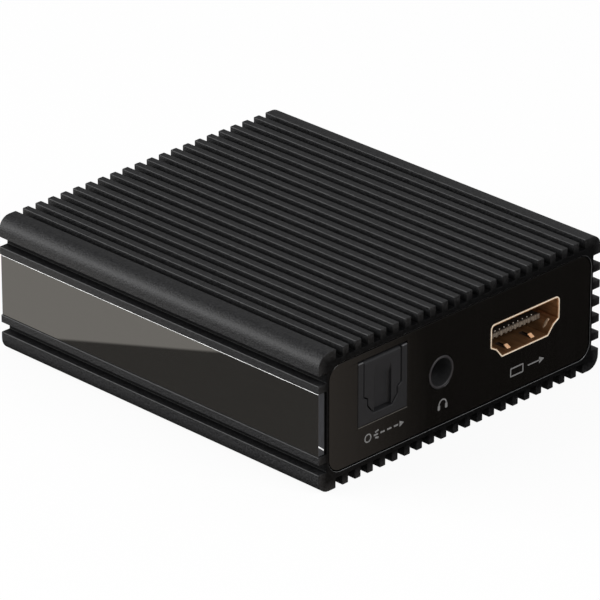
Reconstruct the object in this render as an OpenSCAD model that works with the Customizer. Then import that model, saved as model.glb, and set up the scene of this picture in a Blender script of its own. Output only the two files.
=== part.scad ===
// Ribbed aluminium splitter box that takes the sound out of a video cable.
// +X runs across the sockets, +Y runs from the output end to the input end, +Z is up.
// The origin is the middle of the underside, on the surface that the box rests on.

/* [Housing] */
// Width of the extruded housing, across the sockets
body_w = 60; // [56:0.5:80]
// Length of the extruded housing, from socket end to socket end
body_l = 68; // [60:0.5:100]
// Height of the extruded housing
body_h = 22.3; // [21.6:0.1:30]
// Radius of the four long outer corners
corner_r = 2.1; // [1:0.1:3]
// Least width of the four corner ribs
corner_rib_min = 2.8; // [2.8:0.1:3.4]
// Spacing of the ribs on the top and the underside
top_pitch = 2.58; // [2.2:0.01:4]
// Width of the grooves on the top and the underside
top_groove_w = 1.35; // [0.8:0.01:1.6]
// Spacing of the ribs on the two sides
side_pitch = 2.85; // [2.4:0.01:3]
// Width of the grooves on the two sides
side_groove_w = 1.56; // [0.8:0.01:1.7]
// Depth of every groove
groove_depth = 1.6; // [1:0.05:1.8]
// Chamfer along the rib edges
rib_chamfer = 0.15; // [0.05:0.01:0.25]
// Wall left between a groove and the inside
wall_t = 1.6; // [1.2:0.05:1.8]
// Radius inside the corners of the cavity
cavity_r = 1; // [0.5:0.1:1.5]

/* [Side inlay] */
// Thickness of the gloss strip let into one side
inlay_t = 1.2; // [0.8:0.05:1.3]
// Thickness of its adhesive tape
inlay_tape_t = 0.3; // [0.1:0.05:0.3]
// Gap between the strip and the ribs beside it
inlay_gap = 0.06; // [0.02:0.01:0.2]
// How far the strip stops short of each end of the housing
inlay_end_gap = 0.2; // [0.1:0.05:1]
// Ribs that the strip takes the place of
inlay_ribs = 3; // [1:2:3]

/* [End panels] */
// Housing left beside each end panel
panel_margin_x = 2.1; // [2:0.05:2.6]
// Housing left above and below each end panel
panel_margin_z = 2.5; // [2.2:0.05:2.6]
// Corner radius of the end panels
panel_r = 2.4; // [1:0.1:2.6]
// How far the panel faces lie inside the ends of the housing
panel_inset = 0.15; // [0.1:0.01:0.4]
// Thickness of the gloss front sheets
overlay_t = 0.4; // [0.2:0.05:0.6]
// Thickness of the metal end plates
plate_t = 1.5; // [1:0.1:2]
// Gap round each end panel
panel_clear = 0.06; // [0.03:0.01:0.2]

/* [Fixings] */
// Radius of the end plate screws
screw_r = 1; // [0.8:0.05:1.1]
// Length of the end plate screws
screw_l = 7; // [5:0.5:10]
// Radius of the countersunk heads
screw_head_r = 1.9; // [1.6:0.05:2]
// Screw places, in from the side edges of the end plates
screw_inset_x = 2.4; // [2.2:0.05:2.8]
// Screw places, in from the top and bottom edges of the end plates
screw_inset_z = 2.2; // [2.1:0.05:2.3]
// Wall round each screw channel
screw_wall = 0.7; // [0.5:0.05:0.8]
// Clearance round each screw
screw_clear = 0.04; // [0.02:0.01:0.1]

/* [Circuit board] */
// Thickness of the circuit board
board_t = 1.6; // [1.2:0.1:1.8]
// Height of the board's underside over the rest surface
board_z = 6.35; // [6:0.05:6.6]
// Gap at each side edge of the board
board_side_gap = 0.3; // [0.15:0.05:0.5]
// Gap at each end of the board
board_end_gap = 0.2; // [0.1:0.05:0.5]
// Play of the board in its slots, on each face
board_play = 0.05; // [0.02:0.01:0.15]
// How far the upper slot rails stand out of the walls
rail_w = 1.2; // [0.8:0.1:1.4]
// Height of the slot rails
rail_h = 1; // [0.6:0.1:1.4]

/* [Socket places] */
// Gap before each socket of the output end, as shares of the free width, from the -X side
front_gap_shares = [0.12, 0.251, 0.462]; // [0.02:0.001:0.5]
// Gap before each fitting of the input end, as shares of the free width, from the -X side
rear_gap_shares = [0.02, 0.26, 0.3, 0.3]; // [0.02:0.01:0.31]

/* [Optical socket] */
// Width of the optical socket
optical_w = 10.2; // [9.6:0.1:10.8]
// Gap between its roof and the housing
optical_roof_gap = 0.18; // [0.08:0.01:0.4]
// Length of its moulded body
optical_l = 13; // [12:0.1:15]
// Depth of its plug cavity
optical_depth = 10; // [9:0.1:10.5]
// Thickness of the roof over the plug cavity
optical_roof_t = 0.5; // [0.3:0.05:0.5]
// Width of the plug cavity above its shoulders
slot_top_w = 7.9; // [7.4:0.05:8.2]
// Width of the plug cavity below its shoulders
slot_low_w = 6.3; // [5.6:0.05:6.6]
// Width of the flat bottom of the plug cavity
slot_foot_w = 3.9; // [3:0.05:4.6]
// Height of the cavity bottom over the board
slot_sill = 1.45; // [1:0.05:1.8]
// Height of the slanted bottom corners
slot_slant_h = 1.4; // [1:0.05:1.8]
// Height of the shoulders over the board
slot_shoulder_z = 3.95; // [3.6:0.05:4.4]
// Rise of the slanted shoulders
slot_shoulder_h = 0.5; // [0.3:0.05:0.8]
// Thickness of the shutter
shutter_t = 1; // [0.8:0.05:1.2]
// How far the shutter's face lies inside the socket's face
shutter_set_back = 0.1; // [0.1:0.05:0.5]
// Gap round the shutter
shutter_gap = 0.18; // [0.08:0.01:0.2]
// Width of the shallow recess down the shutter's face
shutter_recess_w = 3.6; // [2:0.1:4]
// Depth of that recess
shutter_recess_d = 0.45; // [0.2:0.05:0.5]
// Radius of the shutter's hinge pin
shutter_pin_r = 0.25; // [0.2:0.01:0.28]
// Running clearance round the hinge pin
shutter_pin_clear = 0.05; // [0.03:0.01:0.08]

/* [Headphone socket] */
// Height of its axis over the board
phone_axis_h = 3.05; // [2.95:0.05:3.4]
// Bore for the plug
phone_bore_r = 1.8; // [1.75:0.01:1.85]
// Outer radius of the collar in the panel
phone_collar_r = 2.6; // [2.4:0.05:2.9]
// Inner radius of the collar
phone_mouth_r = 2.2; // [2:0.05:2.3]
// Width of the moulded body
phone_w = 6.4; // [5.8:0.1:7]
// Depth of the bore's back wall behind the panel's face
phone_depth = 14.6; // [13:0.1:16]
// Length of the cone that leads into the bore
phone_lead_in = 3; // [1:0.1:4]
// Thickness of the moulded body's back wall
phone_back_t = 1; // [0.6:0.1:2]

/* [Video sockets] */
// Width of the socket shell
video_w = 15; // [14.6:0.05:15.4]
// Height of the socket shell
video_h = 5.95; // [5.5:0.05:6.2]
// Length of the socket shell
video_l = 11.5; // [10:0.1:13]
// Sheet thickness of the shell
video_wall = 0.35; // [0.25:0.01:0.4]
// Height of the shell over the board
video_raise = 1.05; // [0.2:0.05:1.4]
// Height at which the straight sides end
video_side_z = 2.15; // [1.9:0.05:2.3]
// Width across the shoulders
video_shoulder_w = 12.6; // [12:0.05:13]
// Height of the shoulders
video_shoulder_z = 1.5; // [1.2:0.05:1.8]
// Width of the shell's flat bottom
video_foot_w = 10.1; // [9.6:0.05:10.6]
// Chamfer on the shell's top corners
video_chamfer = 0.55; // [0.2:0.05:0.8]
// Width of the contact tongue
tongue_w = 11.7; // [11:0.1:12.4]
// Thickness of the contact tongue
tongue_t = 0.8; // [0.6:0.05:1]
// Height of the tongue's middle over the shell's bottom
tongue_mid_z = 2.25; // [2.1:0.05:2.6]
// How far the tongue's tip lies inside the shell's mouth
tongue_set_back = 2.45; // [1.5:0.05:3.5]
// Length of the moulded block at the back of the shell
tongue_block_l = 3; // [2:0.1:4]
// Spacing of the contacts in each row
contact_pitch = 1; // [0.9:0.01:1.05]
// Width of a contact
contact_w = 0.45; // [0.3:0.01:0.6]
// Thickness of a contact
contact_t = 0.15; // [0.1:0.01:0.2]
// Distance from the middle to each shell spring
spring_offset = 2.6; // [2:0.05:3.5]
// Width of a shell spring
spring_w = 1; // [0.6:0.05:1.6]
// Length of a shell spring
spring_l = 3.2; // [2:0.1:4]
// Rise of a shell spring
spring_rise = 0.4; // [0.2:0.05:0.5]

/* [Power inlet] */
// Width of the moulded body
power_w = 9; // [8.6:0.1:9.6]
// Gap between its top and the housing
power_roof_gap = 0.2; // [0.1:0.05:0.5]
// Length of the moulded body behind the panel
power_l = 12; // [11:0.1:14]
// Radius of the round mouth
power_nose_r = 3.95; // [3.7:0.05:4.1]
// Bore for the plug
power_bore_r = 3.15; // [3:0.01:3.2]
// Depth of the bore behind the panel's face
power_depth = 9.5; // [8:0.1:10.5]
// Radius of the centre pin
power_pin_r = 1; // [0.6:0.05:1.2]

/* [Mode switch] */
// Width of the switch can
mode_can_w = 8.6; // [8.4:0.1:9]
// Depth of the switch can
mode_can_d = 3.4; // [3:0.1:4]
// Height of the switch can
mode_can_h = 3.4; // [3:0.1:4]
// Sheet thickness of the switch can
mode_can_t = 0.25; // [0.15:0.01:0.3]
// Travel from the middle position to each end position
mode_travel = 2; // [1.5:0.1:2]
// Width of the finger lug
mode_lug_w = 1.5; // [1.2:0.1:1.8]
// Height of the finger lug
mode_lug_h = 1.4; // [1:0.1:1.6]
// Gap round the moving lug
mode_gap = 0.15; // [0.1:0.01:0.3]
// Width of the slider's foot inside the can
mode_foot_w = 3; // [2.4:0.1:3.4]

/* [Status light] */
// Height of its axis over the board
light_axis_h = 3; // [2.6:0.05:3.4]
// Radius of the lens
light_r = 1; // [0.8:0.05:1.4]
// Size of its black holder
light_holder_w = 3.4; // [3.2:0.1:3.6]

/* [Board parts] */
// Width of the video chip
main_chip_w = 10; // [8:0.5:11]
// Height of the video chip
main_chip_h = 1; // [0.8:0.1:1.4]
// Length of the sound chip
sound_chip_l = 6.5; // [5:0.5:7]
// Width of the sound chip
sound_chip_w = 4.4; // [4:0.1:5]
// Radius of the storage capacitors
capacitor_r = 2.5; // [2:0.1:2.6]
// Height of the storage capacitors
capacitor_h = 5.4; // [4:0.1:5.6]
// Width of the power inductor
inductor_w = 6; // [5:0.5:7]
// Height of the power inductor
inductor_h = 2.8; // [2:0.1:4]

/* [Hidden] */

// Overrun of every cut past the face that it opens
cut_over = 0.25;
// Sides of the round shapes
$fn = 48;

// Heights of the board, over the rest surface
board_top = board_z + board_t;
mid_z = body_h / 2;

// Inside of the housing
cavity_w = body_w - 2 * (groove_depth + wall_t);
cavity_h = body_h - 2 * (groove_depth + wall_t);

// End panels, with depths measured in from the ends of the housing
panel_w = body_w - 2 * panel_margin_x;
panel_h = body_h - 2 * panel_margin_z;
plate_depth = panel_inset + overlay_t;
rebate_depth = plate_depth + plate_t;
socket_face = panel_inset / 3;
behind_plate = rebate_depth + board_end_gap / 2;

// Board outline
board_w = cavity_w - 2 * board_side_gap;
board_l = body_l - 2 * (rebate_depth + board_end_gap);

// Screw places, and the channels that the screws run in
screw_x = panel_w / 2 - screw_inset_x;
screw_z = panel_h / 2 - screw_inset_z;
channel_r = screw_r + screw_clear + screw_wall;
screw_head_h = screw_head_r - screw_r;
screw_sink = 0.05;
screw_cross_w = 0.5;
screw_cross_l = 2;

// Tall sockets fill the room between the board and the housing, up to their gaps
room_h = body_h - groove_depth - wall_t - board_top;
optical_h = room_h - optical_roof_gap - optical_roof_t - shutter_gap;
power_h = room_h - power_roof_gap;

// Places across the ends, with all sockets between the screw channels
front_places = row_places([optical_w, phone_w, video_w], front_gap_shares);
optical_x = front_places[0];
phone_x = front_places[1];
video_out_x = front_places[2];
rear_places = row_places([light_holder_w, video_w, mode_can_w, power_w], rear_gap_shares);
light_x = rear_places[0];
video_in_x = rear_places[1];
mode_x = rear_places[2];
power_x = rear_places[3];

// Side strip
inlay_pocket_h = inlay_ribs * side_pitch + side_groove_w;
inlay_recess = groove_depth - inlay_tape_t - inlay_t;
inlay_edge = 0.12;

// Optical socket: hinge pin and shutter
hinge_z = optical_h - shutter_t / 2 - 0.1 * shutter_t;
hinge_depth = socket_face + shutter_set_back + shutter_t / 2;
slot_ceiling = optical_h + shutter_gap;
optical_body_h = slot_ceiling + optical_roof_t;
shutter_recess_top = hinge_z - 1.2 * shutter_t;
optical_wall_t = 1;
emitter_w = 5;
emitter_h = 5.2;
emitter_mid_share = 0.48;
emitter_mid_z = emitter_mid_share * optical_h;
emitter_bore_r = 1.3;
emitter_lens_r = 1.1;
emitter_gap = 0.1;
spring_strip_w = 1.6;
spring_strip_l = 6;
spring_strip_t = 0.12;

// Headphone socket
phone_body_h = 2 * phone_axis_h;
foot_t = 0.3;
foot_w = 1.5;
foot_l = 0.9;
phone_foot_shares = [0.2, 0.5, 0.8];

// Video sockets
tongue_fit = 0.03;
video_leg_w = 1.6;
video_leg_shares = [0.36, 0.8];
top_contacts = 10;
low_contacts = 9;
tail_l = 0.9;
tail_t = 0.2;
tail_w = 0.28;

// Power inlet
power_step = 0.1;
power_pin_set_back = 1.2;
power_tip_share = 0.6;

// Mode switch
mode_axis_h = mode_can_h / 2;
mode_window_w = mode_lug_w + 2 * (mode_travel + mode_gap);
mode_foot_d = 1.4;

// Status light
light_holder_l = 4;
light_holder_h = 5;
light_clear = 0.05;

// Small board parts
lead_w = 0.3;
lead_t = 0.15;
lead_reach = 1;
chip_standoff = 0.1;

// Places across and along the board, as shares of the board's width and length
main_chip_share = [0.03, -0.04];
sound_chip_share = [-0.19, -0.19];
memory_chip_share = [-0.3, 0.02];
crystal_share = [-0.14, 0.02];
regulator_shares = [[0.3, -0.17], [0.4, 0.02], [-0.38, 0.2]];
inductor_share = [0.25, 0.06];
capacitor_shares = [[0.2, 0.2], [0.38, 0.16], [-0.33, -0.2]];
surge_shares = [[0.16, -0.25], [0.32, -0.25], [-0.28, 0.27], [-0.1, 0.27]];
passive_rows = 4;
passive_columns = 5;
passive_l = 1.6;
passive_w = 0.8;
passive_h = 0.7;
passive_span_share = 0.234;
sound_leads = 10;
memory_leads = 4;
regulator_leads = 3;

// Points of a half outline, with its mirror image added
function both_sides(half) =
    concat(half, [for (i = [len(half) - 1 : -1 : 0]) [-half[i].x, half[i].y]]);

// Unit normal on the left of the line from a to b
function left_normal(a, b) =
    let (run = (b - a) / norm(b - a))
    [-run.y, run.x];

// Outline moved inwards by t, with its corners mitred
function inset_outline(points, t) =
    let (n = len(points))
    [for (i = [0 : n - 1])
        let (before = left_normal(points[(i + n - 1) % n], points[i]))
        let (after = left_normal(points[i], points[(i + 1) % n]))
        points[i] + (before + after) * t / (1 + before * after)];

// Outline of the video socket's shell, with its flat bottom at zero
function video_outline(t = 0) = inset_outline(both_sides([
    [video_foot_w / 2, 0],
    [video_shoulder_w / 2, video_shoulder_z],
    [video_w / 2, video_side_z],
    [video_w / 2, video_h - video_chamfer],
    [video_w / 2 - video_chamfer, video_h]]), t);

// Outline of the optical socket's plug cavity, up to a given top
function slot_outline(top, t = 0) = inset_outline(both_sides([
    [slot_foot_w / 2, slot_sill],
    [slot_low_w / 2, slot_sill + slot_slant_h],
    [slot_low_w / 2, slot_shoulder_z],
    [slot_top_w / 2, slot_shoulder_z + slot_shoulder_h],
    [slot_top_w / 2, top]]), t);

// Middle places of n copies, spaced by pitch about zero
function spaced(n, pitch) = [for (i = [0 : n - 1]) (i - (n - 1) / 2) * pitch];

// Sum of the first n values of a list
function sum_first(list, n) = n == 0 ? 0 : list[n - 1] + sum_first(list, n - 1);

// Middle places of a row of pieces between the screw channels, from their widths and the gaps before them
function row_places(widths, shares) =
    let (reach = screw_x - channel_r)
    let (free = 2 * reach - sum_first(widths, len(widths)))
    [for (i = [0 : len(widths) - 1])
        sum_first(widths, i) + widths[i] / 2 + sum_first(shares, i + 1) * free - reach];

// How many grooves fit across a face
function groove_count(face, pitch, groove) =
    floor((face - 2 * corner_rib_min + pitch - groove) / pitch);

// Solid with a flat outline in X and Z, carried along Y
module along_y(start, length) {
    translate([0, start + length, 0])
        rotate([90, 0, 0])
            linear_extrude(length)
                children();
}

// Round bar or cone along Y
module rod_y(start, length, r1, r2) {
    translate([0, start, 0])
        rotate([-90, 0, 0])
            cylinder(h = length, r1 = r1, r2 = r2);
}

// Box centred across X, with its near face at y and its underside at z
module block(w, l, h, y = 0, z = 0) {
    translate([-w / 2, y, z])
        cube([w, l, h]);
}

// Moves a piece drawn at y = depth to the output end or, mirrored, to the input end
module at_end(end) {
    if (end == "front") translate([0, -body_l / 2, 0]) children();
    else translate([0, body_l / 2, 0]) mirror([0, 1, 0]) children();
}

module rounded_rect(w, h, r) {
    square([w - 2 * r, h], center = true);
    square([w, h - 2 * r], center = true);
    for (x = [-1, 1], y = [-1, 1])
        translate([x * (w / 2 - r), y * (h / 2 - r)])
            circle(r);
}

// Groove with a chamfered mouth, opening towards +Y
module groove(w) {
    flare = w / 2 + rib_chamfer + cut_over;
    polygon(both_sides([
        [w / 2, -groove_depth],
        [w / 2, -rib_chamfer],
        [flare, cut_over]]));
}

module panel_shape(grow = 0) {
    translate([0, mid_z])
        rounded_rect(panel_w + 2 * grow, panel_h + 2 * grow, panel_r + grow);
}

module screw_places() {
    for (x = [-1, 1], z = [-1, 1])
        translate([x * screw_x, 0, mid_z + z * screw_z])
            children();
}

// Cross-section of the extrusion, drawn with its underside at zero
module housing_section() {
    top_places = spaced(groove_count(body_w, top_pitch, top_groove_w), top_pitch);
    side_places = spaced(groove_count(body_h, side_pitch, side_groove_w), side_pitch);
    slot_low = board_z - board_play;
    slot_high = board_top + board_play;
    difference() {
        union() {
            difference() {
                translate([0, mid_z])
                    rounded_rect(body_w, body_h, corner_r);
                translate([0, mid_z])
                    rounded_rect(cavity_w, cavity_h, cavity_r);
                for (x = top_places) {
                    translate([x, body_h]) groove(top_groove_w);
                    translate([x, 0]) mirror([0, 1]) groove(top_groove_w);
                }
                for (z = side_places) {
                    translate([body_w / 2, mid_z + z]) rotate(-90) groove(side_groove_w);
                    if (abs(z) > inlay_pocket_h / 2)
                        translate([-body_w / 2, mid_z + z]) rotate(90) groove(side_groove_w);
                }
                translate([-body_w / 2, mid_z]) rotate(90) groove(inlay_pocket_h);
            }
            for (side = [-1, 1]) {
                for (z = [-1, 1])
                    translate([side * screw_x, mid_z + z * screw_z])
                        circle(channel_r);
                for (z = [slot_low - rail_h, slot_high])
                    translate([side * (cavity_w - rail_w + wall_t / 2) / 2, z + rail_h / 2])
                        square([rail_w + wall_t / 2, rail_h], center = true);
            }
        }
        for (x = [-1, 1], z = [-1, 1])
            translate([x * screw_x, mid_z + z * screw_z])
                circle(screw_r + screw_clear);
        translate([-cavity_w / 2, slot_low])
            square([cavity_w, slot_high - slot_low]);
    }
}

module housing() {
    color("#2a2a2b")
        difference() {
            along_y(-body_l / 2, body_l) housing_section();
            for (end = ["front", "rear"])
                at_end(end)
                    along_y(-cut_over, rebate_depth + cut_over)
                        panel_shape(panel_clear);
        }
}

module side_inlay() {
    w = inlay_pocket_h / 2 - inlay_gap;
    face = -body_w / 2 + inlay_recess;
    color("#3a3834")
        along_y(-body_l / 2 + inlay_end_gap, body_l - 2 * inlay_end_gap)
            translate([face, mid_z])
                rotate(90)
                    polygon(both_sides([
                        [w, -inlay_t],
                        [w, -inlay_edge],
                        [w - inlay_edge, 0]]));
}

module inlay_tape() {
    inset = 2 * inlay_end_gap;
    color("#1c1c1b")
        along_y(-body_l / 2 + inset, body_l - 2 * inset)
            translate([-body_w / 2 + inlay_recess + inlay_t + inlay_tape_t / 2, mid_z])
                square([inlay_tape_t, inlay_pocket_h - 2 * inset], center = true);
}

// Cut-outs that the sockets need at the output end
module front_openings(grow) {
    translate([optical_x, board_top + optical_h / 2])
        square([optical_w + 2 * grow, optical_h + 2 * grow], center = true);
    translate([phone_x, board_top + phone_axis_h])
        circle(phone_collar_r + grow);
    translate([video_out_x, board_top + video_raise])
        polygon(video_outline(-grow));
}

// Cut-outs that the sockets need at the input end
module rear_openings(grow) {
    translate([video_in_x, board_top + video_raise])
        polygon(video_outline(-grow));
    translate([power_x, board_top + power_h / 2])
        circle(power_nose_r + grow);
    translate([mode_x, board_top + mode_axis_h])
        square([mode_window_w, mode_lug_h + 2 * mode_gap], center = true);
    translate([light_x, board_top + light_axis_h])
        circle(light_r + grow);
}

// Countersunk metal plate, drawn at its depth behind the end of the housing
module end_plate() {
    difference() {
        along_y(plate_depth, plate_t)
            difference() {
                panel_shape();
                children();
            }
        screw_places()
            rod_y(plate_depth - cut_over, plate_t + 2 * cut_over,
                screw_r + screw_clear, screw_r + screw_clear);
        screw_places()
            rod_y(plate_depth - screw_clear, screw_head_h + screw_sink + screw_clear,
                screw_head_r + screw_sink + 2 * screw_clear, screw_r + screw_clear);
    }
}

module end_screws() {
    head_start = plate_depth + screw_sink;
    screw_places()
        difference() {
            union() {
                rod_y(head_start, screw_head_h, screw_head_r, screw_r);
                rod_y(head_start + screw_head_h / 2, screw_l - screw_head_h / 2, screw_r, screw_r);
            }
            block(screw_cross_l, screw_head_h, screw_cross_w,
                head_start - screw_head_h / 2, -screw_cross_w / 2);
            block(screw_cross_w, screw_head_h, screw_cross_l,
                head_start - screw_head_h / 2, -screw_cross_l / 2);
        }
}

module front_plate() {
    color("#1d1d1e")
        at_end("front") end_plate() front_openings(panel_clear);
}

module front_overlay() {
    color("#1c1a17")
        at_end("front")
            along_y(panel_inset, overlay_t)
                difference() {
                    panel_shape();
                    front_openings(panel_clear);
                }
}

module front_screws() {
    color("#9a9a9c") at_end("front") end_screws();
}

module rear_plate() {
    color("#1d1d1e")
        at_end("rear") end_plate() rear_openings(panel_clear);
}

module rear_overlay() {
    color("#1c1a17")
        at_end("rear")
            along_y(panel_inset, overlay_t)
                difference() {
                    panel_shape();
                    rear_openings(panel_clear);
                }
}

module rear_screws() {
    color("#9a9a9c") at_end("rear") end_screws();
}

module main_board() {
    color("#14301f")
        block(board_w, board_l, board_t, -board_l / 2, board_z);
}

// Folded shell of a video socket, with legs on the board and two springs in its floor
module video_shell(x) {
    leg_x = video_w / 2 - video_wall / 2;
    spring_start = socket_face + spring_l / 4;
    translate([x, 0, board_top]) {
        difference() {
            translate([0, 0, video_raise])
                along_y(socket_face, video_l)
                    polygon(video_outline());
            translate([0, 0, video_raise])
                along_y(socket_face - cut_over, video_l + 2 * cut_over)
                    polygon(video_outline(video_wall));
            for (side = [-1, 1])
                translate([side * spring_offset, 0, video_raise - cut_over])
                    block(spring_w + video_wall, spring_l, video_wall + 2 * cut_over, spring_start);
        }
        for (side = [-1, 1]) {
            translate([side * spring_offset, 0, video_raise])
                shell_spring(spring_start);
            for (share = video_leg_shares)
                translate([side * leg_x, 0, 0])
                    block(video_wall, video_leg_w, video_raise + video_side_z + video_wall,
                        socket_face + share * video_l);
        }
    }
}

// Bent spring finger, fixed at its inner end, with its hump towards the mouth
module shell_spring(start) {
    tip = start + video_wall;
    end = start + spring_l;
    hump = start + spring_l / 3;
    rotate([90, 0, 90])
        translate([0, 0, -spring_w / 2])
            linear_extrude(spring_w)
                polygon([
                    [tip, 0],
                    [hump, spring_rise],
                    [end, 0],
                    [end + video_wall, 0],
                    [end + video_wall, video_wall],
                    [end, video_wall],
                    [hump, spring_rise + video_wall],
                    [tip, video_wall]]);
}

// Moulded block that closes the back of the shell, with the contact tongue in front of it
module video_tongue(x) {
    block_start = socket_face + video_l - tongue_block_l;
    translate([x, 0, board_top + video_raise]) {
        along_y(block_start, tongue_block_l)
            polygon(video_outline(video_wall + tongue_fit));
        block(tongue_w, block_start - tongue_set_back - socket_face + cut_over, tongue_t,
            socket_face + tongue_set_back, tongue_mid_z - tongue_t / 2);
    }
}

// Two rows of contacts on the tongue, and their tails on the board behind the shell
module video_contacts(x) {
    tip = socket_face + tongue_set_back + tail_t / 2;
    block_start = socket_face + video_l - tongue_block_l;
    tongue_z = board_top + video_raise + tongue_mid_z;
    translate([x, 0, 0]) {
        for (place = spaced(top_contacts, contact_pitch))
            translate([place, 0, 0])
                block(contact_w, block_start - tip, contact_t, tip, tongue_z + tongue_t / 2);
        for (place = spaced(low_contacts, contact_pitch))
            translate([place, 0, 0])
                block(contact_w, block_start - tip, contact_t, tip,
                    tongue_z - tongue_t / 2 - contact_t);
        for (place = spaced(top_contacts + low_contacts, contact_pitch / 2))
            translate([place, 0, 0])
                contact_tail();
    }
}

// Tail that leaves the back of the moulded block, drops and ends in a foot on the board
module contact_tail() {
    back = socket_face + video_l;
    block(tail_w, tail_t, video_raise + video_side_z, back, board_top);
    block(tail_w, tail_l, tail_t, back, board_top);
}

module video_out_shell() {
    color("#c9a27c") at_end("front") video_shell(video_out_x);
}

module video_out_tongue() {
    color("#38322c") at_end("front") video_tongue(video_out_x);
}

module video_out_contacts() {
    color("#b58a4a") at_end("front") video_contacts(video_out_x);
}

module video_in_shell() {
    color("#c9a27c") at_end("rear") video_shell(video_in_x);
}

module video_in_tongue() {
    color("#38322c") at_end("rear") video_tongue(video_in_x);
}

module video_in_contacts() {
    color("#b58a4a") at_end("rear") video_contacts(video_in_x);
}

// Moulded optical socket: a face that fills the panel's window, a plug cavity and an emitter well
module optical_body() {
    well_start = optical_depth + optical_wall_t;
    color("#28282a")
        at_end("front")
            translate([optical_x, 0, board_top])
                difference() {
                    union() {
                        block(optical_w, behind_plate - socket_face, optical_h, socket_face);
                        block(optical_w, optical_l - behind_plate, optical_body_h, behind_plate);
                    }
                    along_y(socket_face - cut_over, behind_plate - socket_face + cut_over)
                        polygon(slot_outline(optical_h + cut_over));
                    along_y(socket_face - cut_over, optical_depth - socket_face + cut_over)
                        polygon(slot_outline(slot_ceiling));
                    hinge_line(slot_top_w + optical_wall_t, shutter_pin_r);
                    translate([0, 0, emitter_mid_z])
                        rod_y(optical_depth - cut_over, optical_wall_t + 2 * cut_over,
                            emitter_bore_r, emitter_bore_r);
                    block(emitter_w + 2 * emitter_gap, optical_l - well_start + cut_over,
                        emitter_mid_z + emitter_h / 2 + emitter_gap + cut_over,
                        well_start, -cut_over);
                }
}

// Round bar along the shutter's hinge line
module hinge_line(length, r) {
    translate([-length / 2, hinge_depth, hinge_z])
        rotate([0, 90, 0])
            cylinder(h = length, r = r);
}

// Flap that closes the plug cavity, hung on its pin
module optical_shutter() {
    knuckle_l = slot_top_w - 2 * shutter_gap;
    bottom = slot_sill + shutter_gap;
    recess_h = shutter_recess_top - bottom;
    color("#2b2b2d")
        at_end("front")
            translate([optical_x, 0, board_top])
                difference() {
                    union() {
                        along_y(hinge_depth - shutter_t / 2, shutter_t)
                            polygon(inset_outline(slot_outline(hinge_z + shutter_gap), shutter_gap));
                        hinge_line(knuckle_l, shutter_t / 2);
                    }
                    hinge_line(knuckle_l + 2 * cut_over, shutter_pin_r + shutter_pin_clear);
                    block(shutter_recess_w, shutter_recess_d + cut_over, recess_h + cut_over,
                        hinge_depth - shutter_t / 2 - cut_over, bottom - cut_over);
                }
}

module shutter_pin() {
    color("#b9b9bb")
        at_end("front")
            translate([optical_x, 0, board_top])
                hinge_line(slot_top_w + optical_wall_t, shutter_pin_r);
}

// Leaf spring flat under the cavity's roof, behind the hinge
module shutter_spring() {
    color("#c2a468")
        at_end("front")
            translate([optical_x, 0, board_top])
                block(spring_strip_w, spring_strip_l, spring_strip_t,
                    behind_plate, slot_ceiling - spring_strip_t);
}

// Light source in the well at the back of the optical socket, with its lens and leads
module optical_emitter() {
    start = optical_depth + optical_wall_t;
    color("#5a1414")
        at_end("front")
            translate([optical_x, 0, board_top]) {
                block(emitter_w, optical_l - start, emitter_h, start, emitter_mid_z - emitter_h / 2);
                translate([0, 0, emitter_mid_z])
                    rod_y(optical_depth, optical_wall_t + emitter_gap, emitter_lens_r, emitter_lens_r);
                for (x = spaced(3, emitter_w / 3))
                    translate([x, 0, 0])
                        block(lead_w, lead_w, emitter_mid_z, optical_l - 2 * lead_w);
            }
}

module headphone_body() {
    bore_start = behind_plate + phone_lead_in;
    color("#1e1e20")
        at_end("front")
            translate([phone_x, 0, board_top])
                difference() {
                    block(phone_w, phone_depth + phone_back_t - behind_plate, phone_body_h, behind_plate);
                    translate([0, 0, phone_axis_h]) {
                        rod_y(behind_plate, phone_lead_in, phone_mouth_r, phone_bore_r);
                        rod_y(behind_plate - cut_over, 2 * cut_over, phone_mouth_r, phone_mouth_r);
                        rod_y(bore_start - cut_over, phone_depth - bore_start + cut_over,
                            phone_bore_r, phone_bore_r);
                    }
                }
}

// Thin collar that lines the panel's hole
module headphone_collar() {
    start = socket_face / 2;
    color("#3a3a3c")
        at_end("front")
            translate([phone_x, 0, board_top + phone_axis_h])
                difference() {
                    rod_y(start, behind_plate - start, phone_collar_r, phone_collar_r);
                    rod_y(start - cut_over, behind_plate - start + 2 * cut_over,
                        phone_mouth_r, phone_mouth_r);
                }
}

// Flat solder feet on both sides of the headphone socket
module headphone_contacts() {
    run = phone_depth - behind_plate;
    color("#b9b4a8")
        at_end("front")
            translate([phone_x, 0, board_top])
                for (side = [-1, 1], share = phone_foot_shares)
                    translate([side * (phone_w / 2 + foot_l / 2), 0, 0]) {
                        block(foot_l, foot_w, foot_t, behind_plate + share * run);
                        translate([side * (foot_t - foot_l) / 2, 0, 0])
                            block(foot_t, foot_w, phone_axis_h, behind_plate + share * run);
                    }
}

module power_inlet_body() {
    axis_z = power_h / 2;
    color("#1b1b1c")
        at_end("rear")
            translate([power_x, 0, board_top])
                difference() {
                    union() {
                        block(power_w, power_l, power_h, behind_plate);
                        translate([0, 0, axis_z])
                            rod_y(socket_face, behind_plate + power_step - socket_face,
                                power_nose_r, power_nose_r);
                    }
                    translate([0, 0, axis_z])
                        rod_y(socket_face - cut_over, power_depth + cut_over - socket_face,
                            power_bore_r, power_bore_r);
                }
}

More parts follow.
